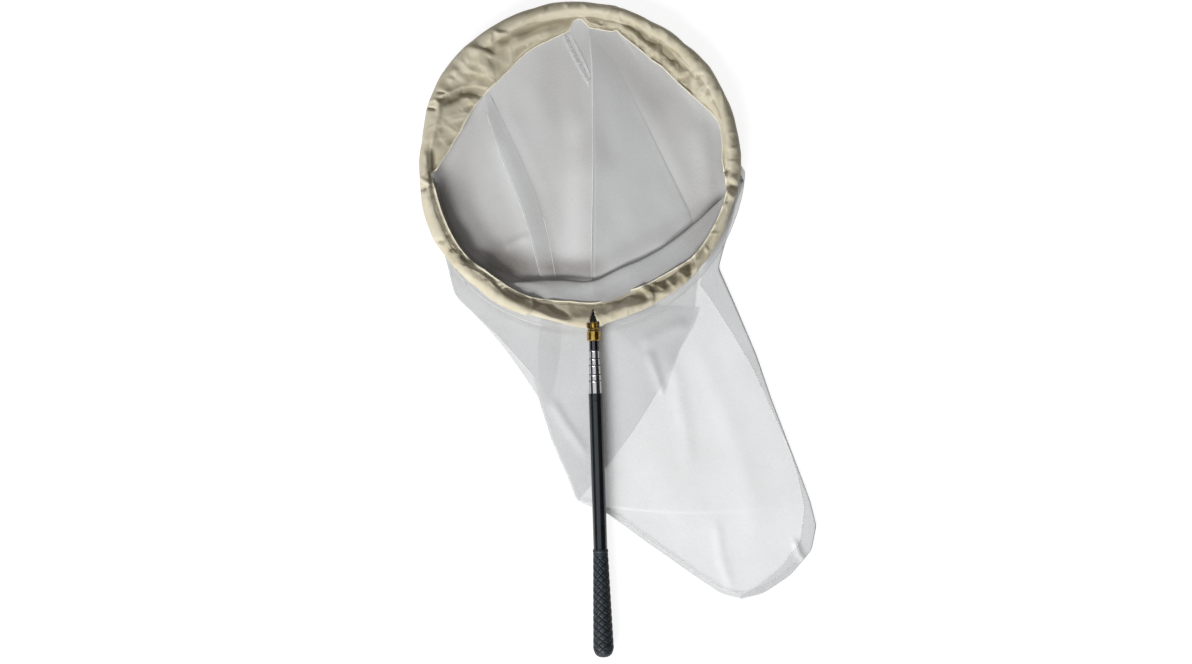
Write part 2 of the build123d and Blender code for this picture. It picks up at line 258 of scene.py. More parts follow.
def steel_material(name, tint, rough, drawn):
    m = Mat(name, Metallic=1.0)
    vec = m.scaled(1.0, 0.02, 1.0)
    streak = m.noise(drawn, 4.0, 0.7, vec)
    smear = m.noise(60.0, 3.0, 0.5)
    m.link(m.ramp(streak, [(0.25, tuple(0.90 * c for c in tint)), (0.75, tint)]), m.b.inputs["Base Color"])
    r = m.math("ADD", m.math("MULTIPLY", smear, 0.10), rough)
    m.link(r, m.b.inputs["Roughness"])
    m.bump(streak, 0.05, 0.0001)
    return m.m


def brass_material(name, rough=0.16):
    m = Mat(name, Metallic=1.0)
    ring = m.noise(1800.0, 2.0, 0.6, m.scaled(0.02, 1.0, 0.02))
    age = m.noise(240.0, 4.0, 0.65)
    c = m.ramp(age, [(0.30, (0.20, 0.115, 0.022)), (0.50, (0.45, 0.29, 0.07)), (0.75, (0.72, 0.53, 0.17))])
    m.link(c, m.b.inputs["Base Color"])
    m.link(m.math("ADD", m.math("MULTIPLY", age, 0.18), rough - 0.05), m.b.inputs["Roughness"])
    m.bump(ring, 0.12, 0.0001)
    return m.m


def lacquer_material(name, base, rough, coat=0.0):
    m = Mat(name, Coat_Weight=coat, Coat_Roughness=0.25)
    cloud = m.noise(90.0, 4.0, 0.6)
    scratch = m.noise(700.0, 3.0, 0.7, m.scaled(1.0, 0.06, 1.0))
    m.link(m.ramp(cloud, [(0.3, tuple(0.7 * c for c in base)), (0.7, tuple(1.35 * c for c in base))]), m.b.inputs["Base Color"])
    m.link(m.math("ADD", m.math("MULTIPLY", scratch, 0.16), rough - 0.08), m.b.inputs["Roughness"])
    m.bump(m.noise(1200.0, 2.0), 0.08, 0.0001)
    return m.m


def rubber_material(name, base=(0.0075, 0.0110, 0.0140)):
    m = Mat(name, Specular_IOR_Level=0.3)
    cloud = m.noise(120.0, 4.0, 0.65)
    fine = m.noise(1600.0, 3.0, 0.7)
    c = m.ramp(cloud, [(0.3, base), (0.75, tuple(2.0 * c for c in base))])
    # painted shade: near-black in the grip's grooves
    c = m.mix(m.attr("groove").outputs["Fac"], c, (0.003, 0.003, 0.004))
    m.link(c, m.b.inputs["Base Color"])
    m.link(m.math("ADD", m.math("MULTIPLY", cloud, 0.22), 0.42), m.b.inputs["Roughness"])
    m.bump(fine, 0.35, 0.0002)
    return m.m


MAT = {
    "canvas": canvas_material(),
    "tape": tape_material(),
    "thread": thread_material("sewing_thread", (0.42, 0.38, 0.27), (0.56, 0.52, 0.40)),
    "white_thread": thread_material("white_thread", (0.60, 0.60, 0.60), (0.80, 0.80, 0.80)),
    "mesh": mesh_material(),
    "seam": seam_material(),
    "steel": steel_material("spring_steel_wire", (0.62, 0.62, 0.63), 0.22, 900.0),
    "stud": steel_material("stud_steel", (0.60, 0.59, 0.58), 0.30, 500.0),
    "brass": brass_material("brass_turned"),
    "spring_brass": brass_material("brass_sheet", 0.26),
    "cone": lacquer_material("cone_plastic", (0.004, 0.005, 0.006), 0.22, 0.0),
    "tube": lacquer_material("tube_lacquer", (0.0045, 0.0065, 0.0080), 0.13, 0.25),
    "collar": lacquer_material("collar_satin", (0.0045, 0.0065, 0.0080), 0.22, 0.1),
    "washer": rubber_material("washer_rubber", (0.03, 0.03, 0.03)),
    "plug": lacquer_material("plug_plastic", (0.03, 0.03, 0.03), 0.5),
    "grip": rubber_material("grip_rubber"),
    # painted shade: the rolled mouths are dark steel, standing in for the shade in the gap where each tube enters the
    # next
    "mouth": steel_material("tube_mouth_shade_steel", (0.10, 0.10, 0.11), 0.35, 500.0),
}
for k in range(1, 7):
    # painted reflection: stage 1 is dark steel, 0.09 where the others are 0.56, standing in for a dark reflection on
    # it
    t_ = 0.09 if k == 1 else 0.56
    MAT[f"stage_{k}"] = steel_material(f"stainless_{k}", (t_, t_, t_ + 0.01), 0.07 + 0.01 * (k % 3), 700.0 + 60 * k)


def paint(obj, mat):
    if not obj.material_slots:
        obj.data.materials.append(mat)
    for s in obj.material_slots:
        s.material = mat


NODE_MAT = {
    "hoop_wire": "steel", "neck_cone": "cone", "ferrule": "brass", "threaded_stud": "stud",
    "thread_washer": "washer", "socket": "brass", "outer_tube": "tube", "front_collar": "collar",
    "end_plug": "plug",
}
for k in range(1, 7):
    NODE_MAT[f"stage_tube_{k}"] = f"stage_{k}"
    NODE_MAT[f"friction_sleeve_{k}"] = "spring_brass"
for n, mt in NODE_MAT.items():
    paint(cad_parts[n], MAT[mt])


# ======================================================================================
# Geometry helpers
# ======================================================================================
def resample(pts, n, closed=False):
    """n points evenly spaced along a smooth curve through pts."""
    p = np.asarray(pts, float)
    if closed:
        p = np.vstack([p, p[:1]])
    seg = np.r_[0, np.cumsum(np.linalg.norm(np.diff(p, axis=0), axis=1))]
    t = np.linspace(0, seg[-1], n, endpoint=not closed)
    return np.stack([np.interp(t, seg, p[:, k]) for k in range(p.shape[1])], 1)


def smooth(a, times, closed=False):
    a = a.copy()
    for _ in range(times):
        if closed:
            a = 0.25 * np.roll(a, 1, 0) + 0.5 * a + 0.25 * np.roll(a, -1, 0)
        else:
            a[1:-1] = 0.25 * a[:-2] + 0.5 * a[1:-1] + 0.25 * a[2:]
    return a


def make(name, verts, faces, mat, shade=True):
    me = bpy.data.meshes.new(name)
    me.from_pydata([tuple(v) for v in np.asarray(verts) * MM], [], [tuple(int(i) for i in f) for f in faces])
    me.validate()
    me.update()
    if shade:
        me.polygons.foreach_set("use_smooth", [True] * len(me.polygons))
    ob = bpy.data.objects.new(name, me)
    bpy.context.scene.collection.objects.link(ob)
    me.materials.append(mat)
    return ob


def grid_faces(n, m, wrap=False):
    """Quads of an n by m grid of points, rows first. wrap joins the last row to the first."""
    i = np.arange(n if wrap else n - 1)[:, None]
    j = np.arange(m - 1)[None, :]
    a = i * m + j
    b = ((i + 1) % n) * m + j
    return np.stack([a, a + 1, b + 1, b], -1).reshape(-1, 4)


def attribute(ob, name, data, kind="FLOAT"):
    at = ob.data.attributes.new(name, kind, "POINT")
    at.data.foreach_set("vector" if kind == "FLOAT_VECTOR" else "value", np.asarray(data, np.float32).ravel())


def value_noise(x, y, cell, seed):
    """Smooth noise from -1 to 1 at points (x, y)."""
    r = np.random.RandomState(seed)
    t = r.uniform(-1, 1, (97, 97))
    u, v = x / cell, y / cell
    i, j = np.floor(u).astype(int), np.floor(v).astype(int)
    fu, fv = u - i, v - j
    fu, fv = fu * fu * (3 - 2 * fu), fv * fv * (3 - 2 * fv)
    g = lambda a, b: t[a % 97, b % 97]
    return (g(i, j) * (1 - fu) + g(i + 1, j) * fu) * (1 - fv) + (g(i, j + 1) * (1 - fu) + g(i + 1, j + 1) * fu) * fv


def tube_along(pts, radii, sides, closed=False, squash=1.0):
    """Vertices and faces of a round tube along pts."""
    p = np.asarray(pts, float)
    n = len(p)
    if closed:
        d = np.roll(p, -1, 0) - np.roll(p, 1, 0)
    else:
        d = np.gradient(p, axis=0)
    d /= np.linalg.norm(d, axis=1)[:, None] + 1e-9
    up = np.array([0, 0, 1.0])
    s = np.cross(d, up)
    s /= np.linalg.norm(s, axis=1)[:, None] + 1e-9
    w = np.cross(s, d)
    a = np.linspace(0, 2 * np.pi, sides, endpoint=False)
    r = np.broadcast_to(np.asarray(radii, float), (n,))
    v = p[:, None] + r[:, None, None] * (np.cos(a)[None, :, None] * s[:, None] + squash * np.sin(a)[None, :, None] * w[:, None])
    v = v.reshape(-1, 3)
    f = []
    for i in range(n if closed else n - 1):
        k = (i + 1) % n
        for j in range(sides):
            f.append((i * sides + j, i * sides + (j + 1) % sides, k * sides + (j + 1) % sides, k * sides + j))
    if not closed:
        f.append(tuple(range(sides))[::-1])
        f.append(tuple((n - 1) * sides + j for j in range(sides)))
    return v, f


def polyline_distance(x, y, line):
    """Signed distance from points to a polyline (positive on its left), and the share along it."""
    L = np.asarray(line, float)
    best = np.full(x.shape, 1e9)
    sign = np.zeros(x.shape)
    along = np.zeros(x.shape)
    seg = np.r_[0, np.cumsum(np.linalg.norm(np.diff(L[:, :2], axis=0), axis=1))]
    for k in range(len(L) - 1):
        a, b = L[k, :2], L[k + 1, :2]
        ab = b - a
        l2 = (ab ** 2).sum() + 1e-9
        t = np.clip(((x - a[0]) * ab[0] + (y - a[1]) * ab[1]) / l2, 0, 1)
        dx, dy = x - a[0] - t * ab[0], y - a[1] - t * ab[1]
        d = np.hypot(dx, dy)
        m = d < best
        best = np.where(m, d, best)
        sign = np.where(m, np.sign(ab[0] * (y - a[1]) - ab[1] * (x - a[0])), sign)
        along = np.where(m, (seg[k] + t * math.sqrt(l2)) / seg[-1], along)
    return best * np.where(sign == 0, 1, sign), along


# ======================================================================================
# Canvas collar: a cloth strip wrapped over the hoop, gathered to the mouth tape
# ======================================================================================
HEM = np.array([
    (-209.3, 187.3), (-202.3, 188.2), (-186.7, 210.8), (-172.2, 233.3), (-160.0, 254.8), (-143.2, 276.2),
    (-125.5, 291.7), (-113.6, 302.8), (-102.9, 314.0), (-85.2, 327.3), (-67.7, 334.8), (-51.4, 342.3),
    (-43.2, 346.7), (-40.7, 354.7), (-34.8, 359.1), (-30.2, 358.9), (-25.7, 354.2), (-20.2, 348.3),
    (-8.7, 345.6), (5.0, 342.9), (10.8, 345.0), (14.1, 340.3), (25.3, 330.7), (36.5, 321.2),
    (48.8, 309.3), (61.2, 300.9), (71.2, 290.2), (81.3, 279.5), (92.4, 268.8), (104.7, 256.9),
    (114.8, 247.4), (124.7, 234.5), (127.5, 213.7), (126.8, 190.7), (128.7, 176.8), (131.5, 156.0),
    (125.1, 135.5), (112.8, 110.6), (100.8, 92.5), (88.8, 79.1), (70.1, 68.2), (51.4, 58.4),
    (33.8, 49.7), (16.4, 44.5), (-4.6, 34.8), (-27.7, 30.9), (-52.9, 34.0), (-75.9, 35.9), (-98.8, 40.1),
    (-119.2, 49.9), (-132.7, 59.5), (-149.5, 72.7), (-164.2, 82.4), (-177.5, 98.9), (-186.2, 114.1),
    (-193.7, 131.6), (-200.0, 151.4), (-204.1, 168.7),
])


# outline of the canvas seen from above
OUTER = np.array([
    (-222.0, 198.1), (-221.3, 182.2), (-221.0, 168.6), (-219.6, 148.2), (-217.3, 137.3), (-213.5, 124.9),
    (-207.9, 109.1), (-202.1, 100.1), (-196.2, 91.8), (-190.4, 84.1), (-185.2, 76.6), (-177.3, 68.8),
    (-169.3, 61.1), (-158.8, 51.2), (-149.5, 42.8), (-140.3, 35.7), (-131.0, 30.0), (-120.3, 25.0),
    (-109.5, 20.9), (-104.9, 18.4), (-98.0, 19.3), (-82.5, 14.4), (-69.1, 10.4), (-55.6, 6.5),
    (-42.2, 3.1), (-34.4, 1.2), (-26.4, 1.0), (-18.2, 3.0), (-11.6, 6.9), (-5.1, 9.0), (8.0, 13.2),
    (20.9, 17.2), (31.3, 21.1), (40.4, 24.8), (49.6, 30.3), (60.0, 35.9), (70.4, 42.6), (81.0, 49.7),
    (91.6, 60.0), (99.6, 70.0), (107.5, 77.6), (113.0, 86.4), (118.3, 95.0), (123.8, 104.2),
    (129.3, 114.3), (133.5, 127.1), (138.4, 140.4), (141.1, 146.7), (144.7, 158.7), (147.0, 171.4),
    (148.9, 186.5), (148.0, 207.3), (144.7, 228.1), (139.0, 250.1), (132.0, 266.4), (122.9, 285.7),
    (115.9, 298.6), (103.0, 312.8), (87.9, 325.9), (71.7, 340.8), (55.8, 349.6), (38.9, 359.7),
    (21.3, 367.7), (4.8, 372.8), (-10.1, 375.1), (-30.7, 377.8), (-48.0, 378.1), (-64.1, 377.2),
    (-83.8, 372.1), (-104.8, 365.9), (-125.8, 356.2), (-145.1, 344.6), (-164.6, 329.7), (-181.1, 314.2),
    (-193.1, 298.4), (-203.4, 278.0), (-209.7, 264.4), (-213.5, 249.6), (-217.3, 224.4),
])


def round_curve(points, n):
    """Radius of a closed outline round the hoop's centre, evenly by angle, counterclockwise from +X."""
    d = points - np.array([CX, CY])
    ang = np.mod(np.arctan2(d[:, 1], d[:, 0]), 2 * np.pi)
    o = np.argsort(ang)
    th = np.linspace(0, 2 * np.pi, n, endpoint=False)
    return th, np.interp(th, ang[o], np.hypot(d[:, 0], d[:, 1])[o], period=2 * np.pi)


def hem_curve(n):
    return round_curve(HEM, n)


def by_degree(th, pairs):
    a, v = zip(*pairs)
    out = np.interp(np.degrees(th), a, v, period=360)
    return smooth(out[:, None], 12, True)[:, 0]


HEM_Z = [(0, 11.5), (20, 7.0), (35, 4.8), (90, 4.2), (150, 4.6), (172, 8.5), (190, 13.5), (225, 14.5), (250, 11.5), (270, 8.8),
         (290, 9.0), (320, 11.5), (345, 13.0)]
TILT = [(0, 6.0), (20, 4.5), (38, 1.0), (60, 0.0), (150, 0.0), (170, 2.0), (190, 5.0), (225, 4.5), (250, 1.5), (280, 0.0), (310, 1.5), (335, 4.0)]

# folds that the cloth keeps: (points, height, width to the left of the line, width to its right), in
# millimetres. A negative height is a valley.
CREASES = [
    ([(-158.8, 329.6), (-148.6, 325.8), (-137.2, 322.6)], 3.4, 1.3, 6.0),
    ([(-150.0, 316.6), (-146.4, 320.6), (-138.4, 320.9), (-135.0, 317.3)], 1.8, 2.0, 2.0),
    ([(-147.6, 321.2), (-143.2, 314.1), (-138.8, 305.9), (-134.5, 297.7)], 3.6, 4.0, 8.0),
    ([(-177.9, 306.0), (-173.6, 297.8), (-165.8, 290.7)], 1.3, 3.0, 5.0),
    ([(-185.2, 294.7), (-177.3, 291.0)], 1.2, 2.0, 4.0),
    ([(-171.9, 315.0), (-161.9, 305.5), (-155.1, 300.7)], 1.0, 3.0, 5.0),
    ([(-197.2, 278.4), (-188.0, 277.3)], -2.6, 1.4, 2.2),
    ([(-196.2, 273.8), (-184.6, 276.9), (-169.5, 281.6)], 2.2, 4.0, 1.6),
    ([
    (-195.2, 269.7), (-183.5, 274.5), (-174.2, 278.8), (-164.9, 281.2), (-154.5, 281.6), (-142.0, 277.8),
], -5.5, 1.4, 7.0),
    ([(-188.9, 250.0), (-181.9, 254.3), (-173.6, 261.0), (-163.1, 266.4), (-147.1, 262.5)], 5.6, 7.5, 16.0),
    ([
    (-207.3, 268.9), (-200.1, 269.9), (-196.1, 265.1), (-196.9, 250.2), (-202.6, 232.0), (-205.6, 216.0),
], 2.6, 2.4, 3.0),
    ([(-210.4, 261.0), (-200.1, 259.1)], -2.6, 1.4, 1.6),
    ([(-205.5, 212.5), (-205.5, 196.4), (-206.5, 178.0)], -3.0, 3.0, 1.6),
    ([(-214.3, 210.5), (-212.4, 197.8), (-215.1, 185.2)], 1.8, 3.0, 3.0),
    ([(-222.1, 181.4), (-215.6, 176.0), (-208.5, 172.9), (-202.8, 173.3)], 3.8, 2.6, 1.2),
    ([(-221.4, 167.0), (-213.3, 169.0)], -2.8, 1.6, 3.0),
    ([(-214.8, 149.5), (-213.8, 161.0), (-209.5, 167.8), (-201.7, 169.8)], 3.4, 3.0, 4.5),
    ([(-203.7, 107.8), (-196.4, 107.5), (-189.0, 116.5)], -2.2, 2.2, 2.6),
    ([(-189.1, 95.8), (-184.3, 100.2)], -2.2, 3.0, 3.0),
    ([(-176.4, 96.6), (-178.6, 86.3), (-185.7, 76.1)], 3.4, 1.3, 6.0),
    ([(-176.0, 89.6), (-166.5, 83.0), (-152.7, 81.4)], -3.4, 2.4, 2.4),
    ([
    (-171.2, 78.0), (-155.4, 69.4), (-144.2, 59.9), (-136.4, 51.0), (-127.5, 42.1), (-116.2, 36.0),
    (-101.3, 31.5),
], 2.8, 1.3, 8.0),
    ([(-157.4, 78.7), (-143.8, 70.8), (-132.7, 60.7)], 1.6, 3.0, 3.0),
    ([(-134.0, 55.5), (-128.7, 58.8), (-124.8, 54.7), (-130.1, 51.4)], 2.0, 1.5, 1.6),
    ([(-140.3, 35.6), (-136.7, 42.4), (-132.5, 46.9)], 2.0, 3.5, 1.6),
    ([(-124.9, 50.1), (-113.6, 42.8), (-98.8, 38.3)], -2.6, 3.0, 2.5),
    ([(-105.8, 17.3), (-98.7, 24.5), (-95.6, 31.9), (-97.6, 40.0)], 3.2, 6.0, 1.3),
    ([(-92.1, 34.1), (-80.6, 33.7), (-69.4, 23.6), (-53.5, 16.2)], -3.4, 3.0, 4.0),
    ([(-90.1, 23.7), (-74.3, 14.0), (-51.5, 7.5)], 1.8, 4.0, 4.0),
    ([(-12.7, 32.8), (2.3, 33.5), (15.1, 38.8), (27.7, 37.9), (35.6, 33.6)], -3.8, 4.5, 4.0),
    ([(-12.0, 19.0), (10.1, 25.2), (33.2, 27.9)], 1.6, 6.0, 5.0),
    ([(28.1, 48.8), (37.2, 46.2), (42.1, 36.8), (41.1, 25.4)], 3.4, 1.8, 7.0),
    ([(46.6, 51.6), (62.9, 59.8), (84.0, 72.3)], -2.4, 2.0, 4.0),
    ([(72.3, 65.8), (76.8, 61.1), (82.3, 55.1)], 2.6, 2.6, 2.6),
    ([(59.3, 55.9), (63.2, 51.7), (67.7, 46.4)], 2.2, 2.4, 2.4),
    ([(49.9, 49.2), (54.4, 43.4)], 1.4, 2.2, 2.2),
    ([(84.7, 74.6), (86.7, 67.7), (87.0, 58.4)], -2.6, 1.6, 4.0),
    ([(90.8, 85.9), (93.9, 73.2), (92.9, 60.6)], 3.4, 7.0, 1.2),
    ([(109.5, 113.5), (117.7, 118.5)], 1.4, 1.2, 3.0),
    ([(111.5, 106.6), (118.5, 106.9)], 1.2, 1.2, 2.0),
    ([(104.2, 91.9), (107.4, 85.4)], 1.4, 1.4, 2.0),
    ([(120.5, 135.6), (131.0, 140.5)], 1.2, 1.4, 3.0),
    ([(124.9, 165.1), (136.2, 161.0), (147.0, 155.5)], -5.2, 2.2, 5.0),
    ([(124.1, 163.1), (129.2, 154.9), (134.7, 148.4), (142.7, 145.3)], 3.4, 3.0, 2.6),
    ([(126.2, 170.0), (135.4, 169.7), (146.7, 164.7)], 2.6, 3.5, 3.0),
    ([(124.6, 173.5), (128.7, 176.8), (134.5, 177.8)], -2.2, 2.0, 1.8),
    ([(129.4, 273.4), (129.9, 253.9), (129.9, 230.8), (130.3, 211.3), (132.4, 184.7)], 3.2, 9.0, 2.0),
    ([(132.9, 238.8), (144.5, 240.7)], 1.2, 1.6, 3.0),
    ([(133.5, 220.4), (146.2, 222.3)], 1.4, 1.4, 2.6),
    ([(134.1, 201.9), (146.8, 205.0)], 1.4, 1.4, 3.0),
    ([(93.2, 294.7), (102.8, 306.5)], 2.6, 4.0, 1.4),
    ([(107.3, 266.1), (114.0, 279.1)], 2.4, 4.0, 1.6),
    ([(101.0, 285.8), (108.0, 290.2)], -1.8, 2.0, 2.0),
    ([(116.3, 260.0), (122.5, 273.6)], 1.6, 3.0, 2.0),
    ([(13.6, 362.2), (19.6, 367.7)], 2.0, 1.4, 3.0),
    ([(3.7, 374.0), (4.6, 367.6), (-0.2, 362.0)], 2.2, 1.4, 3.5),
    ([(65.0, 347.9), (69.1, 334.0)], 1.6, 2.0, 4.0),
    ([(45.6, 354.3), (50.9, 340.3)], 1.2, 2.0, 3.0),
    ([(-48.0, 378.5), (-44.7, 372.0)], 1.6, 1.5, 3.0),
    ([(-28.5, 377.3), (-21.8, 369.0)], 1.2, 1.6, 3.0),
    ([(-130.6, 347.1), (-123.9, 343.4), (-113.5, 344.3)], 2.4, 1.4, 3.0),
    ([(-134.6, 332.3), (-133.0, 344.9)], 1.6, 3.0, 1.8),
    ([(-100.5, 354.2), (-92.1, 366.6)], 1.2, 2.6, 1.6),
    ([(-76.2, 360.4), (-70.1, 371.7)], 1.3, 2.6, 1.6),
    ([(-50.9, 357.3), (-46.6, 350.2)], -2.4, 1.5, 2.5),
    ([
    (-118.1, 343.3), (-99.5, 350.2), (-76.2, 360.4), (-56.5, 362.9), (-42.6, 365.3), (-28.8, 364.9),
    (-7.0, 362.8),
], -4.2, 1.2, 11.0),
    ([(-112.8, 329.3), (-89.5, 338.9), (-64.0, 345.0)], 2.2, 9.0, 6.0),
    ([
    (3.2, 358.5), (14.6, 357.5), (28.3, 351.9), (37.2, 344.2), (47.3, 334.1), (60.9, 329.1),
    (69.8, 317.9), (79.8, 307.2), (95.4, 291.7),
], -4.0, 1.2, 6.0),
    ([(2.9, 351.0), (25.7, 342.2), (42.5, 326.8), (62.6, 310.0), (81.6, 291.0)], 2.0, 5.0, 4.0),
    ([(-27.8, 361.2), (-20.0, 354.0), (-5.2, 348.9)], 1.6, 2.0, 3.0),
]


def crease(P, scale=1.0):
    x, y = P[..., 0], P[..., 1]
    up = np.clip((P[..., 2] - 3.0) / 3.0, 0.2, 1)
    dz = np.zeros_like(x)
    for line, h, wl, wr in CREASES:
        line = np.asarray(line, float)
        near = (x > line[:, 0].min() - 40) & (x < line[:, 0].max() + 40) & (y > line[:, 1].min() - 40) & (y < line[:, 1].max() + 40)
        d, s = polyline_distance(x[near], y[near], line)
        w = np.where(d > 0, wl, wr)
        a = np.abs(d) / w
        ends = np.clip(np.minimum(s, 1 - s) * 5.0, 0, 1)
        g = np.exp(-a ** 1.5) * (0.35 + 0.65 * ends)
        dz[near] += g * h * scale
    dz = np.where(dz > 0, 3.6 * np.tanh(dz / 3.6), 6.5 * np.tanh(dz / 6.5))
    P[..., 2] += dz * up
    return P


def crumple(s, t, cell, seed):
    """Creased noise: sharp lines with soft facets between them, from -1 to 1."""
    wx = value_noise(s, t, cell * 1.7, seed + 1) * cell * 0.5
    wy = value_noise(s, t, cell * 1.7, seed + 2) * cell * 0.5
    return 1.0 - 2.6 * np.abs(value_noise(s + wx, t + wy, cell, seed)) ** 0.8


def collar_sim():
    """A canvas strip wrapped over the wire, with more cloth than it needs, then relaxed as particles."""
    n, nk, no, nu = 960, 30, 26, 8                    # round, hem to roll, over the roll, back under it
    m = nk + no + nu
    th, rh = round_curve(HEM, n)
    rh = smooth(rh[:, None], 1, True)[:, 0]
    _, ro = round_curve(OUTER, n)
    ro = smooth(np.maximum(ro, RM + 3.6)[:, None], 2, True)[:, 0]
    leave = np.radians(by_degree(th, [(0, 135), (15, 150), (32, 165), (45, 185), (60, 196), (80, 200), (100, 190), (118, 165),
                                       (135, 118), (160, 112), (180, 122), (200, 122), (225, 120), (250, 125), (280, 132),
                                       (310, 128), (335, 120), (350, 132)]))
    zh = by_degree(th, HEM_Z)
    RT = by_degree(th, [(0, 8.4), (30, 7.8), (90, 8.4), (135, 7.6), (180, 7.4), (225, 7.8), (270, 6.8), (300, 7.2), (330, 7.0)])
    sag = by_degree(th, [(0, 0.0), (45, 1.0), (90, 1.5), (140, 3.0), (180, 1.0), (220, 0.5), (270, 1.5), (320, 1.0)])
    end = math.radians(-98)
    P = np.zeros((n, m, 3))
    for j in range(m):
        if j < nk:
            t = j / nk
            r = rh * (1 - t) + (RM + RT * np.cos(leave)) * t
            z = zh * (1 - t) + (AZ + RT * np.sin(leave)) * t - sag * math.sin(math.pi * t)
        elif j < nk + no:
            t = (j - nk) / (no - 1)
            ph = leave + (end - leave) * t
            side = np.where(np.cos(ph) > 0, ro - RM, RT)
            r = RM + side * np.cos(ph)
            z = AZ + RT * np.sin(ph) * np.where(np.sin(ph) < 0, 8.0 / RT, 1.0)
        else:
            t = (j - nk - no + 1) / nu
            r = (RM + (ro - RM) * math.cos(end)) * (1 - t) + (rh + 1.0) * t
            z = (AZ - 8.0) * (1 - t) + (zh - 1.3) * t
            z = np.minimum(z, AZ - 7.6 + 0 * z) if t < 0.5 else z
        z = z + by_degree(th, TILT) * np.clip((ro - r) / (ro - rh), 0, 1) * np.clip((z - AZ + 7.5) / 6.0, 0, 1)
        P[:, j] = np.stack([CX + r * np.cos(th), CY + r * np.sin(th), z], 1)
    jj = np.arange(m)
    body = np.interp(jj, [0, 3, nk, nk + no * 0.25, nk + no * 0.45, nk + no - 3, nk + no], [0, 1, 1, 0.9, 0.4, 0.15, 0.0])[None, :]
    # ruckled cloth: creases that run mostly across the strip, and slant
    S = th[:, None] * RM + 0 * body
    J = np.concatenate([np.zeros((n, 1)), np.cumsum(np.linalg.norm(np.diff(P, axis=1), axis=2), 1)], 1)
    bunch = np.clip(0.8 + 0.8 * value_noise(S, 0 * S, 60.0, 3), 0.35, 1.4)
    d = (1.15 * crumple(S + 0.5 * J, J * 0.50, 27.0, 11) + 0.6 * crumple(S - 0.6 * J, J * 0.55, 13.0, 23)
         + 0.22 * crumple(S + 0.3 * J, J * 0.8, 6.0, 37)) * bunch
    N = np.cross(np.roll(P, -1, 0) - np.roll(P, 1, 0), np.gradient(P, axis=1))
    N /= np.linalg.norm(N, axis=2)[..., None] + 1e-9
    out = P - np.stack([CX + RM * np.cos(th), CY + RM * np.sin(th), np.full(n, AZ)], 1)[:, None]
    flip = np.sign((N * np.where(jj[None, :, None] < nk, np.array([0, 0, 1.0]), out)).sum(2))
    N *= flip[..., None]
    P += N * (d * 0.80 * body)[..., None]
    P = np.where((jj < nk + no - 4)[None, :, None], crease(P.copy(), 1.75), P)
    # the cloth's own lengths, from the ruckled shape, a little evened out along each thread
    lr = np.linalg.norm(np.roll(P, -1, 0) - P, axis=2)
    lc = np.linalg.norm(P[:, 1:] - P[:, :-1], axis=2)
    lr = 0.75 * lr + 0.25 * smooth(lr, 6, True)
    lc = 0.75 * lc + 0.25 * smooth(lc, 4, True)
    w = np.ones((n, m))
    w[:, 0] = 0.0
    w[:, nk + no:] = 0.0
    diag = np.sqrt(lr[:, :-1] ** 2 + lc ** 2)
    home = P.copy()

    def pull(a, b, wa, wb, L, k):
        dlt = b - a
        dist = np.linalg.norm(dlt, axis=2) + 1e-9
        c = (dist - L) / (wa + wb + 1e-9) / dist * k
        return a + dlt * (c * wa)[..., None], b - dlt * (c * wb)[..., None]

    er = np.stack([np.cos(th), np.sin(th)], 1)
    for it in range(42):
        for s in (0, 1):                                             # round the hoop
            na, nb = pull(P[s::2], np.roll(P, -1, 0)[s::2], w[s::2], np.roll(w, -1, 0)[s::2], lr[s::2], 0.9)
            P[s::2] = na
            Q = np.roll(P, -1, 0)
            Q[s::2] = nb
            P = np.roll(Q, 1, 0)
        for s in (0, 1):                                             # across
            a, b = P[:, s:-1:2], P[:, s + 1::2]
            k = min(a.shape[1], b.shape[1])
            na, nb = pull(a[:, :k], b[:, :k], w[:, s:-1:2][:, :k], w[:, s + 1::2][:, :k], lc[:, s::2][:, :k], 0.9)
            P[:, s:-1:2][:, :k] = na
            P[:, s + 1::2][:, :k] = nb
        for s in (0, 1):                                             # shear, soft
            Q = np.roll(P, -1, 0)
            na, nb = pull(P[s::2, :-1], Q[s::2, 1:], w[s::2, :-1], np.roll(w, -1, 0)[s::2, 1:], diag[s::2], 0.12)
            P[s::2, :-1] = na
            Q = np.roll(P, -1, 0)
            Q[s::2, 1:] = nb
            P = np.roll(Q, 1, 0)
        if it % 3 == 0:                                              # stiffness
            mid = 0.5 * (np.roll(P, 1, 0) + np.roll(P, -1, 0))
            P += 0.10 * (mid - P) * w[..., None]
            c = P.copy()
            c[:, 1:-1] = 0.5 * (P[:, 2:] + P[:, :-2])
            P += 0.08 * (c - P) * w[..., None]
        rad = np.stack([((P[..., 0] - CX) * er[:, None, 0] + (P[..., 1] - CY) * er[:, None, 1]) - RM, P[..., 2] - AZ], -1)
        dist = np.linalg.norm(rad, axis=2) + 1e-9
        push = np.where(dist < 3.4, 3.4 - dist, 0)
        mv = rad / dist[..., None] * push[..., None] * w[..., None]
        P[..., 0] += mv[..., 0] * er[:, None, 0]
        P[..., 1] += mv[..., 0] * er[:, None, 1]
        P[..., 2] += mv[..., 1]
        P[..., 2] = np.where(P[..., 2] < 3.6, 3.6, P[..., 2])
        P += 0.07 * (home - P) * w[..., None]
    return th, P, lr, lc, nk, no


th, COLLAR, LR, LC, NK, NO = collar_sim()
n_r, n_c = COLLAR.shape[:2]

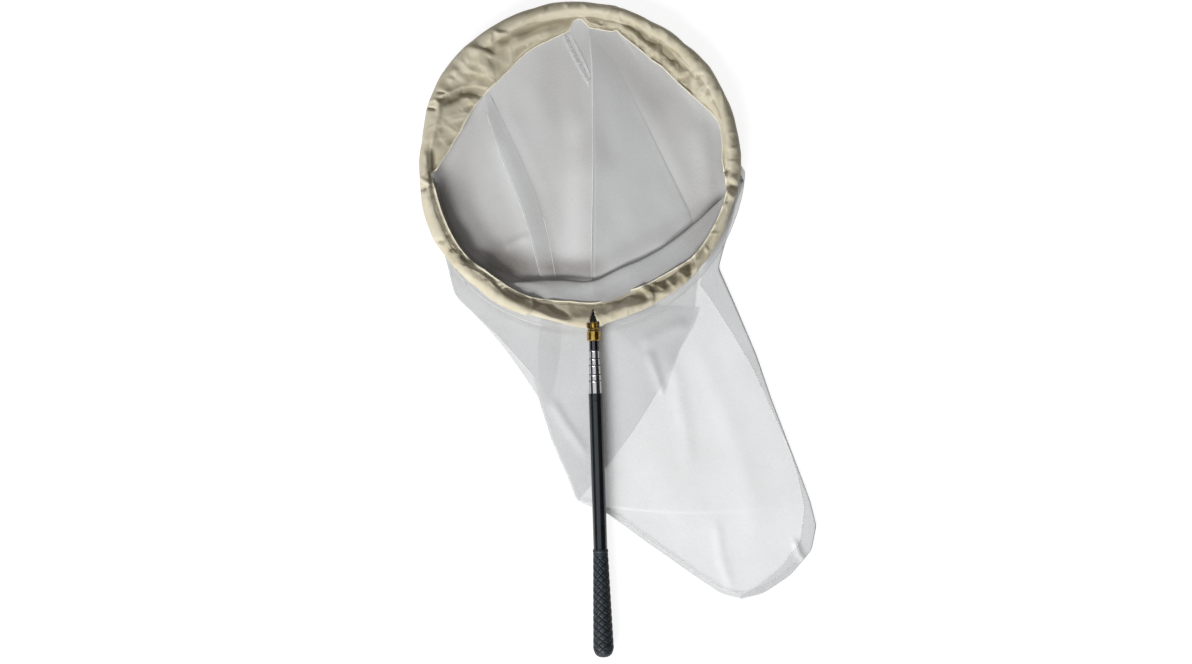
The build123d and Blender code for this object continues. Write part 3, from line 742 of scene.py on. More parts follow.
# at the neck the cloth runs under the cone and along both sides of the ferrule
dxn = np.abs(COLLAR[..., 0] - HX)
yn = COLLAR[..., 1]
cone_r = np.clip(4.9 * (24.5 - yn) / 15.5, 0.3, 5.0)
drop = AZ - np.sqrt(np.clip((cone_r + 0.5) ** 2 - np.clip(dxn, 0, cone_r) ** 2, 0, None)) - 0.2
limit = np.where(dxn < cone_r - 0.7, drop, np.minimum(drop, AZ - 2.2) + np.clip(dxn - cone_r + 0.7, 0, 99) * 14.0)
limit = np.where(yn < 9.0, np.minimum(limit, AZ - 7.2 + np.clip(dxn - 6.0, 0, 99) * 14.0), limit)
limit = np.where(yn > 24.5, 99.0, limit)
top_rows = (np.arange(n_c) < NK + NO - 3)[None, :]
COLLAR[..., 2] = np.where((yn < 30) & (dxn < 16) & top_rows, np.minimum(COLLAR[..., 2], np.maximum(limit, 4.2)), COLLAR[..., 2])
# the stitched hem: a shallow groove beside the edge
ACROSS = np.concatenate([np.zeros((n_r, 1)), np.cumsum(np.linalg.norm(np.diff(COLLAR, axis=1), axis=2), 1)], 1)
COLLAR[..., 2] -= 0.55 * np.exp(-((ACROSS - 3.0) / 0.9) ** 2) * top_rows
COLLAR[..., 2] = np.minimum(COLLAR[..., 2], HI[2] * 1000 + 6.0)


su = np.cumsum(LR, 0)
sv = np.concatenate([np.zeros((n_r, 1)), np.cumsum(LC, 1)], 1)
collar = make("canvas_collar", COLLAR.reshape(-1, 3), grid_faces(n_r, n_c, True), MAT["canvas"])
attribute(collar, "weave", np.stack([su, sv, 0 * su], -1).reshape(-1, 3), "FLOAT_VECTOR")
# painted shade: the cloth is darkened where it lies below its own smoothed surface, in its hollows
soft_ = COLLAR.copy()
for _ in range(60):
    soft_ = 0.5 * (np.roll(soft_, 1, 0) + np.roll(soft_, -1, 0)) * 0.5 + soft_ * 0.5
    soft_[:, 1:-1] = 0.25 * (soft_[:, 2:] + soft_[:, :-2]) + 0.5 * soft_[:, 1:-1]
low_ = soft_[..., 2] - COLLAR[..., 2]
canvas_painted_shade = np.clip((low_ - 0.15) / 1.4, 0, 0.45)
# painted shade along lines where the cloth lies in shade: (points, amount, half width)
PAINTED_SHADE_LINES = [
    ([(-150.1, 314.3), (-136.0, 323.1), (-118.4, 332.9), (-89.4, 342.4), (-59.2, 349.5), (-38.4, 354.6)], 0.34, 7.0),
    ([(-17.6, 357.4), (5.3, 352.1), (37.0, 335.0), (68.4, 311.0), (90.7, 288.4)], 0.26, 6.0),
    ([(137.9, 250.2), (143.0, 230.4), (144.6, 207.4), (143.7, 178.6)], 0.30, 5.5),
    ([(37.0, 40.4), (55.6, 46.8), (74.2, 54.2), (88.5, 69.9)], 0.75, 7.5),
    ([(-132.8, 352.9), (-111.8, 362.6), (-88.5, 370.0), (-65.4, 373.8)], 0.28, 3.5),
    ([(-190.1, 285.7), (-181.1, 278.5), (-165.0, 278.0), (-148.9, 277.5)], 0.30, 4.5),
    ([(-194.6, 288.1), (-182.6, 303.8), (-168.3, 319.5), (-151.8, 332.8)], 0.26, 5.0),
    ([(-53.8, 376.9), (-19.3, 374.7), (15.0, 369.0), (60.4, 349.2), (94.0, 320.6)], 0.12, 4.0),
    ([(-214.3, 247.3), (-218.8, 212.9), (-220.9, 184.2)], 0.10, 4.0),
    ([(-182.6, 82.9), (-155.6, 62.5), (-127.5, 42.1), (-101.4, 29.8)], 0.30, 3.0),
    ([(-62.2, 32.0), (-41.6, 27.9), (-27.9, 25.2), (-11.8, 25.8), (18.4, 33.0)], 0.16, 4.0),
]
for line_, amount_, wid_ in PAINTED_SHADE_LINES:
    d_, s_ = polyline_distance(COLLAR[..., 0], COLLAR[..., 1], line_)
    canvas_painted_shade = canvas_painted_shade + amount_ * np.exp(-(np.abs(d_) / wid_) ** 2) * (0.75 + 0.5 * value_noise(COLLAR[..., 0], COLLAR[..., 1], 9.0, 77))
attribute(collar, "canvas_painted_shade", np.clip(canvas_painted_shade, 0, 0.8).ravel())
sol = collar.modifiers.new("thick", "SOLIDIFY")
sol.thickness = 0.0006
sol.offset = -1.0
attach(collar, "net_head")
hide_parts("canvas_sleeve", "canvas_skirt")

# mouth tape: the folded, stitched hem between the canvas and the mesh
hem_line = smooth(COLLAR[:, 0] * 0.75 + COLLAR[:, 1] * 0.25, 1, True)
hem_line[:, 2] += 0.15
v, f = tube_along(hem_line, 0.85 + 0.10 * value_noise(th * 150, th * 0, 7.0, 21), 10, True, 0.75)
tape = make("mouth_binding", v, f, MAT["tape"])
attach(tape, "net_head")
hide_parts("mouth_tape")



def stitch_row(name, line, pitch, length, radius, mat):
    """Short thread dashes along a closed line in space."""
    L = np.vstack([line, line[:1]])
    seg = np.r_[0, np.cumsum(np.linalg.norm(np.diff(L, axis=0), axis=1))]
    at = lambda s: np.array([np.interp(s, seg, L[:, k]) for k in range(3)])
    V_, F_, off = [], [], 0
    for i in range(int(seg[-1] / pitch)):
        s = i * pitch + 0.25 * math.sin(i * 1.9)
        a_, m_, b_ = at(s), at(s + length / 2), at(s + length)
        m_[2] += radius * 0.9
        v_, f_ = tube_along([a_, m_, b_], [radius * 0.6, radius, radius * 0.6], 6)
        V_.append(v_)
        F_ += [tuple(k_ + off for k_ in ff) for ff in f_]
        off += len(v_)
    return make(name, np.vstack(V_), F_, mat)


sew = np.stack([[np.interp(3.0, ACROSS[i, :NK + NO], COLLAR[i, :NK + NO, k]) for k in range(3)] for i in range(n_r)])
sew[:, 2] += 0.25
hem_stitch = stitch_row("hem_stitch", sew, 3.3, 2.1, 0.26, MAT["thread"])
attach(hem_stitch, "net_head")

# ======================================================================================
# Mesh bag: two panels with folds, laid flat
# ======================================================================================
ROWS = 200
V = np.linspace(0, 1, ROWS)


def rail(knots, closed=False):
    """Position by v through knots (v, x, y)."""
    k = np.asarray(knots, float)
    out = np.stack([np.interp(V, k[:, 0], k[:, c]) for c in (1, 2)], 1)
    return smooth(out, 2)


def rail_px(vs, pts):
    return rail([(v, *p) for v, p in zip(vs, pts)])


# mouth end of the lower panel: the far arc of the hem. of the upper panel: the near arc
def arc(a0, a1, n, r_off=0.0):
    t, r = hem_curve(1440)
    a = np.linspace(a0, a1, n)
    rr = np.interp(np.mod(a, 2 * np.pi), t, r, period=2 * np.pi) + r_off
    return np.stack([CX + rr * np.cos(a), CY + rr * np.sin(a)], 1)


A_L = math.radians(181.0)
A_R = math.radians(1.0)

v_sil = [0.0, 0.06, 0.16, 0.30, 0.38, 0.45, 0.53, 0.62, 0.70, 0.76, 0.82, 0.88, 0.94, 0.97, 1.0]
LEFT = rail_px(v_sil, [
    (-204.9, 180.3), (-206.8, 155.0), (-200.1, 111.1), (-185.5, 45.1), (-140.3, -0.1), (-98.2, -50.9),
    (-91.1, -83.3), (-78.7, -127.4), (-62.6, -167.0), (-52.1, -197.3), (-19.1, -210.9), (19.0, -241.7),
    (82.0, -288.9), (111.3, -309.3), (132.9, -315.5),
])
RIGHT = rail_px(v_sil, [
    (142.9, 190.2), (155.4, 167.9), (142.4, 138.4), (119.5, 67.8), (136.6, 25.8), (160.1, -34.7),
    (175.7, -85.8), (194.8, -140.5), (208.5, -180.0), (216.9, -205.6), (222.9, -233.4), (216.3, -262.0),
    (191.3, -290.0), (159.6, -310.0), (132.9, -315.5),
])
SEAM = rail_px(v_sil, [
    (132.9, 165.2), (131.3, 150.3), (119.9, 116.1), (97.1, 48.9), (111.4, 27.8), (133.2, -9.7),
    (153.9, -47.2), (178.6, -105.5), (194.6, -145.1), (202.9, -174.1), (209.8, -212.3), (204.0, -250.1),
    (181.2, -279.3), (154.1, -300.3), (131.9, -312.9),
])
DFOLD = rail_px(v_sil, [
    (-206.0, 180.3), (-167.3, 56.0), (-19.2, 8.8), (97.5, 23.6), (88.7, 0.9), (71.7, -26.2),
    (47.4, -69.2), (14.8, -118.8), (-19.9, -162.6), (-51.5, -197.3), (-19.1, -211.2), (19.0, -241.9),
    (82.0, -289.1), (111.3, -309.6), (132.9, -315.6),
])
v_in = [0.0, 0.04, 0.10, 0.16, 0.22, 0.27, 0.32, 0.38, 0.42, 0.46, 0.60, 1.0]
PA = rail_px(v_in, [
    (-142.1, 276.1), (-141.7, 249.6), (-126.1, 198.5), (-104.9, 140.3), (-96.6, 111.3), (-85.5, 59.2),
    (-86.9, 15.5), (-92.7, -23.4), (-91.3, -53.4), (-84.2, -83.5), (-10.7, -161.7), (133.0, -314.6),
])
PB = rail_px(v_in, [
    (-138.5, 278.3), (-125.6, 249.1), (-105.2, 203.6), (-87.1, 157.1), (-75.9, 110.7), (-68.3, 58.7),
    (-62.7, 14.8), (-66.3, -26.5), (-73.2, -60.8), (-83.1, -84.7), (-10.1, -161.7), (133.0, -314.6),
])
PV = rail_px(v_in, [
    (-22.4, 349.5), (-19.1, 308.0), (-20.0, 241.3), (-21.8, 183.8), (-24.9, 120.6), (-28.1, 57.4),
    (-17.9, 13.4), (22.3, -24.7), (41.2, -46.0), (50.6, -76.2), (79.0, -164.5), (133.0, -314.6),
])
PD = rail_px(v_in, [
    (-20.2, 348.3), (8.5, 307.1), (43.0, 233.5), (66.7, 181.0), (90.4, 129.7), (97.9, 74.2),
    (89.0, 10.1), (74.2, -20.5), (63.0, -49.0), (51.7, -77.4), (79.5, -164.5), (133.0, -314.6),
])


def lift(x, y):
    """How far the laid cloth stands off the floor: long soft rolls, less under the handle."""
    r = np.hypot(x - CX, y - CY)
    inside = np.clip((166 - r) / 14, 0, 1)
    h = 1.6 * (0.5 + 0.5 * value_noise(x + 0.35 * y, y * 0.30, 46.0, 31)) + 0.9 * (0.5 + 0.5 * value_noise(x + 0.3 * y, y * 0.4, 21.0, 32))
    h = h * (0.5 + 0.7 * inside)
    under = np.exp(-((x - HX) / 17.0) ** 2) * np.clip((40 - y) / 20, 0, 1)
    ring = np.exp(-((r - 178) / 12.0) ** 2) * (y < 60)
    return h * (1 - 0.93 * under) * (1 - 0.6 * ring)


RIDGES = [   # long soft ridges of the laid cloth: (points, height, half width)
    ([(57.9, -28.1), (66.1, -60.6), (73.8, -106.8), (79.0, -164.5)], 1.5, 9.0),
    ([(87.4, -3.7), (107.5, -61.9), (131.7, -131.6), (149.1, -201.2), (152.7, -270.4)], 1.1, 13.0),
    ([(35.0, -25.1), (43.4, -50.7), (51.7, -77.4)], 1.2, 5.0),
    ([(107.0, -222.9), (112.5, -269.1), (122.9, -303.9)], 1.2, 6.0),
    ([(-80.5, -76.7), (-62.0, -108.4), (-35.6, -147.1)], 1.4, 6.0),
    ([(-125.8, 97.3), (-111.7, 106.0), (-96.6, 111.3)], 1.8, 4.0),
    ([(-48.1, 336.5), (-40.7, 241.9), (-37.8, 149.8)], 1.6, 14.0),
    ([(40.8, 89.8), (87.2, 102.2), (113.4, 127.8)], 1.6, 7.0),
    ([(-126.2, 267.6), (-83.1, 174.2), (-60.7, 81.4)], 1.4, 12.0),
    ([(35.1, 274.1), (65.1, 204.1), (88.8, 151.6)], 1.2, 12.0),
    ([(-181.5, 154.2), (-154.2, 107.4), (-120.7, 74.1)], 1.5, 11.0),
    ([(103.0, 237.4), (108.4, 191.2), (109.3, 145.2)], 1.3, 10.0),
    ([(197.1, -248.7), (202.4, -266.1), (209.0, -274.4)], 2.2, 3.5),
    ([(25.9, -19.0), (58.7, -2.8), (84.2, 5.6)], 1.3, 8.0),
]


def ridge(x, y):
    z = 0 * x
    for line, h, w in RIDGES:
        d, s = polyline_distance(x, y, line)
        z += h * np.exp(-(d / w) ** 2) * np.clip(np.minimum(s, 1 - s) * 5 + 0.2, 0, 1)
    under = np.exp(-((x - HX) / 15.0) ** 2) * np.clip((40 - y) / 20, 0, 1)
    return z * (1 - 0.95 * under)


GAP = 0.42                                                          # between one laid layer and the next


def strip(a, b, n, za, zb, bow=None, painted_shade_tone=(0.0, 0.0)):
    """n columns from rail a to rail b, at heights za to zb above the laid surface: x, y, z, and a painted shade value.
    """
    t = np.linspace(0, 1, n)[None, :, None]
    xy = a[:, None] * (1 - t) + b[:, None] * t
    if bow is not None:
        xy = xy + bow[:, None] * np.sin(np.pi * t) ** 0.85
    wide = np.clip(np.linalg.norm(a - b, axis=1) / 4.0, 0, 1)[:, None]
    z = (np.asarray(za).reshape(-1, 1) * (1 - t[..., 0]) + np.asarray(zb).reshape(-1, 1) * t[..., 0]) * np.ones((ROWS, 1))
    return np.concatenate([xy, z[..., None], (painted_shade_tone[0] + (painted_shade_tone[1] - painted_shade_tone[0]) * t * np.ones((ROWS, 1, 1)))], 2), wide



def bowed(vs, amounts):
    """A downward bow of the rows by v, in millimetres along -Y."""
    b = np.interp(V, vs, amounts)
    b = smooth(b[:, None], 3)[:, 0]
    return np.stack([0 * b, -b], 1)


def wide(a, b):
    return np.clip(np.linalg.norm(a - b, axis=1) / 3.0, 0, 1)


def panel(strips):
    """Joins strips side by side, each starting on the last one's end."""
    out = [strips[0][0]]
    for blk, _ in strips[1:]:
        out.append(blk[:, 1:] if np.allclose(blk[:, 0, :2], out[-1][:, -1, :2]) else blk)
    return np.concatenate(out, 1)


g1 = GAP * wide(PV, PD)
g2 = GAP * wide(PA, PB)
gd = GAP * wide(LEFT, DFOLD)
gs = GAP * wide(SEAM, RIGHT)
ROW_L = bowed([0, 0.16, 0.24, 0.30, 0.38, 0.45, 0.53, 0.62, 0.70, 0.80, 0.9, 1.0], [0, 0, 30, 60, 58, 40, 32, 24, 17, 10, 5, 0])
half_bow = ROW_L * 0.35
lower = panel([
    strip(SEAM, RIGHT, 10, 2 * gs, 1.0 * gs),
    strip(RIGHT, PD, 60, 0 * g1, 2 * g1, half_bow, (1, 1)),
    strip(PD, PV, 24, 2 * g1, 2 * g1, None, (0.10, 0.18)),
    strip(PV, PD, 24, g1, g1, None, (0.22, 0.22)),
    strip(PD, PV, 24, 0 * g1, 0 * g1, None, (0.9, 0.9)),
    strip(PV, PB, 44, 0 * g2, 2 * g2, half_bow, (1, 1)),
    strip(PB, PA, 10, 2 * g2, 2 * g2, None, (0.16, 0.05)),
    strip(PA, PB, 10, g2, g2, None, (0.22, 0.22)),
    strip(PB, PA, 10, 0 * g2, 0 * g2, None, (1, 1)),
    strip(PA, LEFT, 50, 0 * g2, 0 * g2, half_bow, (1, 1)),
])
# the upper panel: from the hem's near arc in to the lip, back under the rim and out to the end
ROW_U = bowed([0, 0.16, 0.24, 0.30, 0.38, 0.45, 0.53, 0.62, 0.70, 0.80, 0.9, 1.0], [0, 124, 100, 80, 64, 42, 32, 24, 17, 10, 5, 0])
UP_N = 150
upper, _ = strip(LEFT, RIGHT, UP_N, 3 * gd + GAP, 3 * gs + GAP, ROW_U)
LIP = [
    (-201.1, 173.3), (-195.1, 142.0), (-182.9, 110.6), (-165.3, 84.7), (-144.0, 66.8), (-123.6, 56.9),
    (-107.4, 58.7), (-80.9, 60.2), (-57.9, 59.5), (-35.0, 56.5), (-21.1, 58.4), (-5.9, 65.9),
    (8.1, 72.4), (29.0, 79.8), (52.4, 91.7), (75.9, 107.1), (99.5, 124.8), (125.5, 147.0),
    (144.3, 160.2),
]
near = lambda r: np.stack([CX + r * np.cos(np.linspace(A_L, A_R + 2 * np.pi, UP_N)), CY + r * np.sin(np.linspace(A_L, A_R + 2 * np.pi, UP_N))], 1)
t_, r_ = hem_curve(1440)
aa = np.linspace(A_L, A_R + 2 * np.pi, UP_N)
rr = np.interp(np.mod(aa, 2 * np.pi), t_, r_, period=2 * np.pi)
c0 = np.stack([CX + (rr + 1.5) * np.cos(aa), CY + (rr + 1.5) * np.sin(aa)], 1)
lip = resample(LIP, UP_N)
# the lip's points are matched to the rows by angle, so that the threads stay nearly straight
la = np.unwrap(np.arctan2(lip[:, 1] - CY, lip[:, 0] - CX))
la = la + 2 * np.pi * round((aa[0] - la[0]) / (2 * np.pi))
c1 = np.stack([np.interp(aa, la, lip[:, 0]), np.interp(aa, la, lip[:, 1])], 1)
c1 = smooth(c1, 2)
c2 = near(RM - 2)
_deg = np.degrees(aa)
_r3 = np.interp(_deg, [181, 207, 213, 222, 235, 340, 350, 356, 361], [174, 176, RO + 0.5, RO + 2, RO + 3, RO + 3, RO + 4, RO + 4, RO - 6])
c3 = np.stack([CX + _r3 * np.cos(aa), CY + _r3 * np.sin(aa)], 1)
k_v = [0.0, 0.045, 0.11, 0.165]
for i, v_ in enumerate(V):
    if v_ <= k_v[-1] + 1e-9:
        for a in range(3):
            if k_v[a] <= v_ <= k_v[a + 1]:
                t = (v_ - k_v[a]) / (k_v[a + 1] - k_v[a])
                A, B = (c0, c1, c2, c3)[a], (c0, c1, c2, c3)[a + 1]
                upper[i, :, :2] = A * (1 - t) + B * t
                upper[i, :, 2] = np.interp(v_, k_v, [7.6, 7.4, 2.1, 1.7])
                upper[i, :, 3] = np.interp(v_, k_v, [0.75, 0.75, 0.9, 0.0])
    elif v_ < 0.30:
        t = (v_ - k_v[-1]) / (0.30 - k_v[-1])
        t = t * t * (3 - 2 * t)
        upper[i, :, :2] = c3 * (1 - t) + upper[i, :, :2] * t
        upper[i, :, 2] = 1.7 * (1 - t) + upper[i, :, 2] * t
# the flap folded in between the two panels on the left, out to the slanting fold
flap = panel([
    strip(LEFT, DFOLD, 60, 1 * gd, 1 * gd, None),
    strip(DFOLD, LEFT, 60, 2 * gd, 2 * gd, None),
])
back = strip(RIGHT, SEAM, 10, 3 * gs, 2.4 * gs)[0]

# first rows of the lower panel lie on the hem's far arc
fade = 0.20
k = np.clip(1 - V / fade, 0, 1)[:, None]
k = k * k * (3 - 2 * k)
a0 = np.arctan2(lower[0, :, 1] - CY, lower[0, :, 0] - CX)
r0 = np.interp(np.mod(a0, 2 * np.pi), t_, r_, period=2 * np.pi) + 1.5
tgt = np.stack([CX + r0 * np.cos(a0), CY + r0 * np.sin(a0)], 1)
plain = np.ones(lower.shape[1])
col = 0
counts = [10, 59, 23, 23, 23, 43, 9, 9, 9, 49]
starts = np.cumsum([0] + counts)
keep = np.ones(lower.shape[1])
for a, b in ((starts[2], starts[5]), (starts[6], starts[9])):
    keep[a:b + 1] = 0.0
keep = np.clip(smooth(np.where(keep > 0, 1.0, 0.0)[:, None], 6)[:, 0] * 1.0, 0, 1)
for a, b in ((starts[2], starts[5]), (starts[6], starts[9])):
    keep[a:b + 1] = 0.0
k2 = np.clip(1 - V / fade, 0, 1)[:, None]
lower[..., :2] += (tgt[None] - lower[0:1, :, :2]) * (k * keep[None, :])[..., None]
edge = np.clip(1 - V / 0.012, 0, 1)[:, None]
lower[..., :2] += (tgt[None] - lower[0:1, :, :2]) * (edge * (1 - keep)[None, :])[..., None]

ring = np.concatenate([lower, flap[:, 1:], upper[:, 1:], back[:, 1:]], 1)
rx, ry = ring[..., 0], ring[..., 1]
rr_ = np.hypot(rx - CX, ry - CY)
ang_ = np.arctan2(ry - CY, rx - CX)
rh_ = np.interp(np.mod(ang_, 2 * np.pi), t_, r_, period=2 * np.pi)
is_low = np.zeros(ring.shape, bool)[..., 0]
is_low[:, :lower.shape[1]] = True
up_cols = np.zeros(ring.shape[1], bool)
up_cols[lower.shape[1] + flap.shape[1] - 1: lower.shape[1] + flap.shape[1] - 1 + UP_N - 1] = True
z = ring[..., 2] + 0.35 + lift(rx, ry) + ridge(rx, ry)
# under the canvas and its roll the cloth is pressed flat
pressed = np.clip((rr_ - rh_ + 4) / 5, 0, 1) * np.clip((RO + 8 - rr_) / 8, 0, 1)
z = z * (1 - pressed) + np.minimum(z, ring[..., 2] * 0.8 + 0.4) * pressed
vv = np.broadcast_to(V[:, None], z.shape)
# the lower panel climbs to the hem, the upper one starts from it
climb = np.clip(1 - vv / 0.05, 0, 1) ** 1.5
z = np.where(is_low, z * (1 - climb) + 3.7 * climb, z)
first = up_cols[None, :] & (vv < 0.11)
hem_z = sum(np.interp(np.degrees(np.mod(ang_, 2 * np.pi)), *zip(*tab_), period=360) for tab_ in (HEM_Z, TILT)) - 0.4
lap = np.interp(vv, [0, 0.012, 0.030, 0.041, 0.047, 0.055, 0.08, 0.11], [1.0, 0.93, 0.80, 0.62, 0.42, 0.22, 0.06, 0.0])
zf = 1.9 + (hem_z - 1.9) * lap + 0.7 * value_noise(rx, ry, 24.0, 51) * np.clip(vv / 0.02, 0, 1) * lap
z = np.where(first, zf, z)
under_handle = (np.abs(rx - HX) < 13) & (ry < 12)
z = np.where(under_handle, np.minimum(z, 3.3), z)
z = np.clip(z, 0.25, 10.0)
# painted shade: the net inside the hoop is darkened by each strip's value
painted_shade_tone = ring[..., 3] * np.clip((181 - rr_) / 8, 0, 1)
verts = np.stack([rx, ry, z], -1)

sv = np.concatenate([np.zeros((1, verts.shape[1])), np.cumsum(np.linalg.norm(np.diff(verts, axis=0), axis=2), 0)], 0)
su = np.concatenate([np.zeros((ROWS, 1)), np.cumsum(np.linalg.norm(np.diff(verts, axis=1), axis=2), 1)], 1)
sv = sv.mean(1, keepdims=True) + 0 * sv
SHADES = [   # painted shade, darker and denser, where the net lies in the shadow of the rim, the lip and the folds, and painted light below nought: (points, amount, half width)
    ([(-185.0, 154.3), (-172.2, 121.7), (-152.3, 95.8), (-123.0, 76.5)], 0.52, 25.0),
    ([(-191.1, 177.5), (-185.1, 148.6), (-172.3, 117.1)], 0.06, 14.0),
    ([(-136.6, 81.5), (-97.7, 73.4), (-63.3, 72.3), (-26.5, 68.9)], 0.58, 12.0),
    ([(-180.8, 177.2), (-171.7, 211.5), (-156.8, 245.5)], 0.10, 16.0),
    ([(-9.3, 328.4), (24.3, 297.4), (51.9, 262.0)], 0.20, 24.0),
    ([(91.4, 235.5), (115.7, 202.5), (121.1, 156.3)], 0.10, 20.0),
    ([(-17.1, 77.8), (29.6, 98.2), (76.3, 120.9), (118.5, 144.9)], 0.16, 9.0),
    ([(28.4, 61.4), (61.1, 75.4), (98.8, 104.1), (118.2, 135.7)], 0.20, 10.0),
    ([(-135.8, 254.1), (-114.2, 209.7), (-90.6, 156.0), (-76.0, 104.9), (-70.4, 64.5)], 0.20, 9.0),
    ([(-65.0, 311.7), (-57.6, 253.9), (-33.8, 207.2)], 0.13, 24.0),
    ([(-42.2, 230.4), (-41.4, 184.4), (-47.0, 115.5), (-46.6, 90.2)], -0.18, 15.0),
    ([(-128.0, 210.1), (-115.5, 168.3), (-105.1, 133.5), (-99.0, 105.6)], -0.16, 10.0),
    ([(32.9, 205.1), (56.8, 158.3), (71.7, 121.0)], -0.08, 20.0),
    ([(-0.3, 171.6), (7.4, 125.3), (-7.4, 91.3)], -0.08, 16.0),
    ([(-109.8, 55.4), (-77.7, 52.1), (-50.2, 46.6)], 0.20, 10.0),
    ([(-50.3, 45.5), (-18.0, 47.9), (28.6, 67.2), (75.4, 91.0)], -0.50, 9.0),
]
shade = np.zeros_like(rx)
inside_low = np.clip((RM - 4 - rr_) / 8, 0, 1)
for line, amount, wid in SHADES:
    d_, s_ = polyline_distance(rx, ry, line)
    shade += amount * np.exp(-(np.abs(d_) / wid) ** 2)
# painted shade of 0.20 over all the net inside the hoop
shade = (shade + 0.20) * inside_low
faces = grid_faces(ROWS, verts.shape[1])
q = verts.reshape(-1, 3)
fa = np.asarray(faces)
area = 0.5 * np.linalg.norm(np.cross(q[fa[:, 2]] - q[fa[:, 0]], q[fa[:, 3]] - q[fa[:, 1]]), axis=1)
fa = fa[area > 0.02]
bag_faces = [tuple(f_) for f_ in fa.tolist()]
# the folds' own edges, where the cloth turns over: thin round beads of doubled cloth, denser, with a painted highlight
# in their whiter colour
BEADS = [(PA, 0.02, 0.275, 0.25, 2.2 * GAP), (PV, 0.01, 0.275, 0.30, 2.2 * GAP), (PB, 0.19, 0.275, 0.20, 2.2 * GAP),
]
fold = [np.zeros(len(q))]
extra_v, off_ = [], len(q)
for rail_, v0_, v1_, rad_, up_ in BEADS:
    sel = (V >= v0_) & (V <= v1_)
    line = resample(rail_[sel], 160)
    zz_ = 0.35 + lift(line[:, 0], line[:, 1]) + ridge(line[:, 0], line[:, 1]) + up_
    taper = np.clip(np.minimum(np.linspace(0, 1, 160), np.linspace(1, 0, 160)) * 8 + 0.25, 0, 1)
    v_, f_ = tube_along(np.column_stack([line, zz_]), rad_ * taper, 6, False, 0.7)
    bag_faces += [tuple(k_ + off_ for k_ in ff) for ff in f_]
    extra_v.append(v_)
    fold.append(np.ones(len(v_)))
    off_ += len(v_)
n_x = sum(len(e_) for e_ in extra_v)
bag = make("mesh_bag", np.vstack([q] + extra_v), bag_faces, MAT["mesh"])
attribute(bag, "painted_shade_tone", np.concatenate([painted_shade_tone.ravel(), np.zeros(n_x)]))
attribute(bag, "shade", np.concatenate([shade.ravel(), np.zeros(n_x)]))
attribute(bag, "fold", np.concatenate(fold))
attribute(bag, "weave", np.vstack([np.stack([su, sv, 0 * su], -1).reshape(-1, 3), np.zeros((n_x, 3))]), "FLOAT_VECTOR")
import bmesh
bm = bmesh.new()
bm.from_mesh(bag.data)
bmesh.ops.remove_doubles(bm, verts=bm.verts, dist=0.00003)
loose = [v for v in bm.verts if not v.link_faces]
bmesh.ops.delete(bm, geom=loose, context="VERTS")
bm.to_mesh(bag.data)
bm.free()
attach(bag, "net_head")
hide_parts("bag_lower_panel", "bag_upper_panel")


def bag_z(x, y):
    return 0.35 + lift(x, y) + ridge(x, y)


# ======================================================================================
# Seams of the bag
# ======================================================================================
def ribbon(name, left, right, rows, cols, z_of, mat):
    a, b = resample(left, rows), resample(right, rows)
    t = np.linspace(0, 1, cols)[None, :, None]
    xy = a[:, None] * (1 - t) + b[:, None] * t
    zz = z_of(xy[..., 0], xy[..., 1])
    return make(name, np.concatenate([xy, zz[..., None]], 2).reshape(-1, 3), grid_faces(rows, cols), mat)


def stitches(name, line, z_of, pitch, length, radius, mat, zigzag=0.0):
    """A row of thread along line: short dashes, or an overlock zigzag of that width."""
    L = np.asarray(line, float)
    seg = np.r_[0, np.cumsum(np.linalg.norm(np.diff(L, axis=0), axis=1))]
    total = seg[-1]
    V_, F_ = [], []
    off = 0
    at = lambda s: np.array([np.interp(s, seg, L[:, 0]), np.interp(s, seg, L[:, 1])])
    if zigzag:
        n = int(total / pitch)
        pts = []
        for i in range(n * 2 + 1):
            s = total * i / (n * 2)
            c, d = at(s), at(min(s + 0.5, total)) - at(max(s - 0.5, 0))
            d /= np.linalg.norm(d) + 1e-9
            nrm = np.array([-d[1], d[0]])
            w = zigzag * (0.5 if i % 2 else -0.5) * (1 + 0.12 * math.sin(i * 2.3))
            p = c + nrm * w
            pts.append((p[0], p[1], float(z_of(p[0:1], p[1:2])[0]) + 0.12 * (i % 2)))
        v_, f_ = tube_along(pts, radius, 5)
        return make(name, v_, f_, mat)
    s = pitch
    i = 0
    while s < total - pitch:
        jit = 0.3 * math.sin(i * 1.7)
        a, b = at(s + jit), at(s + jit + length)
        mid = (a + b) / 2
        zc = [float(z_of(np.array([q_[0]]), np.array([q_[1]]))[0]) for q_ in (a, mid, b)]
        v_, f_ = tube_along([(a[0], a[1], zc[0] - 0.1), (mid[0], mid[1], zc[1] + radius * 0.8), (b[0], b[1], zc[2] - 0.1)],
                            [radius * 0.6, radius, radius * 0.6], 5)
        V_.append(v_)
        F_ += [tuple(k_ + off for k_ in ff) for ff in f_]
        off += len(v_)
        s += pitch
        i += 1
    return make(name, np.vstack(V_), F_, mat)


top_z = lambda x, y: bag_z(x, y) + 0.9
S1L = [(-53.8, 340.1), (-48.4, 327.3), (-40.9, 310.9), (-32.2, 294.6), (-23.5, 278.2)]
S1R = [(-43.3, 344.4), (-39.0, 333.9), (-32.5, 319.9), (-26.1, 305.9), (-21.8, 294.2)]
centre = ribbon("bag_centre_seam_band", S1L, S1R, 60, 8, top_z, MAT["seam"])
mid1 = (resample(S1L, 40) + resample(S1R, 40)) / 2
centre_thread = stitches("centre_overlock", mid1 + np.array([-1.2, -0.4]), lambda x, y: top_z(x, y) + 0.15, 1.7, 0, 0.22, MAT["white_thread"], 5.0)
centre_edge = stitches("centre_stitch", resample(S1R, 40), lambda x, y: top_z(x, y) + 0.1, 2.6, 1.9, 0.2, MAT["white_thread"])
knot_line = [(-42.6, 33.7), (-49.4, 38.5), (-52.0, 45.5), (-50.1, 51.2), (-44.3, 53.9), (-32.7, 55.8)]
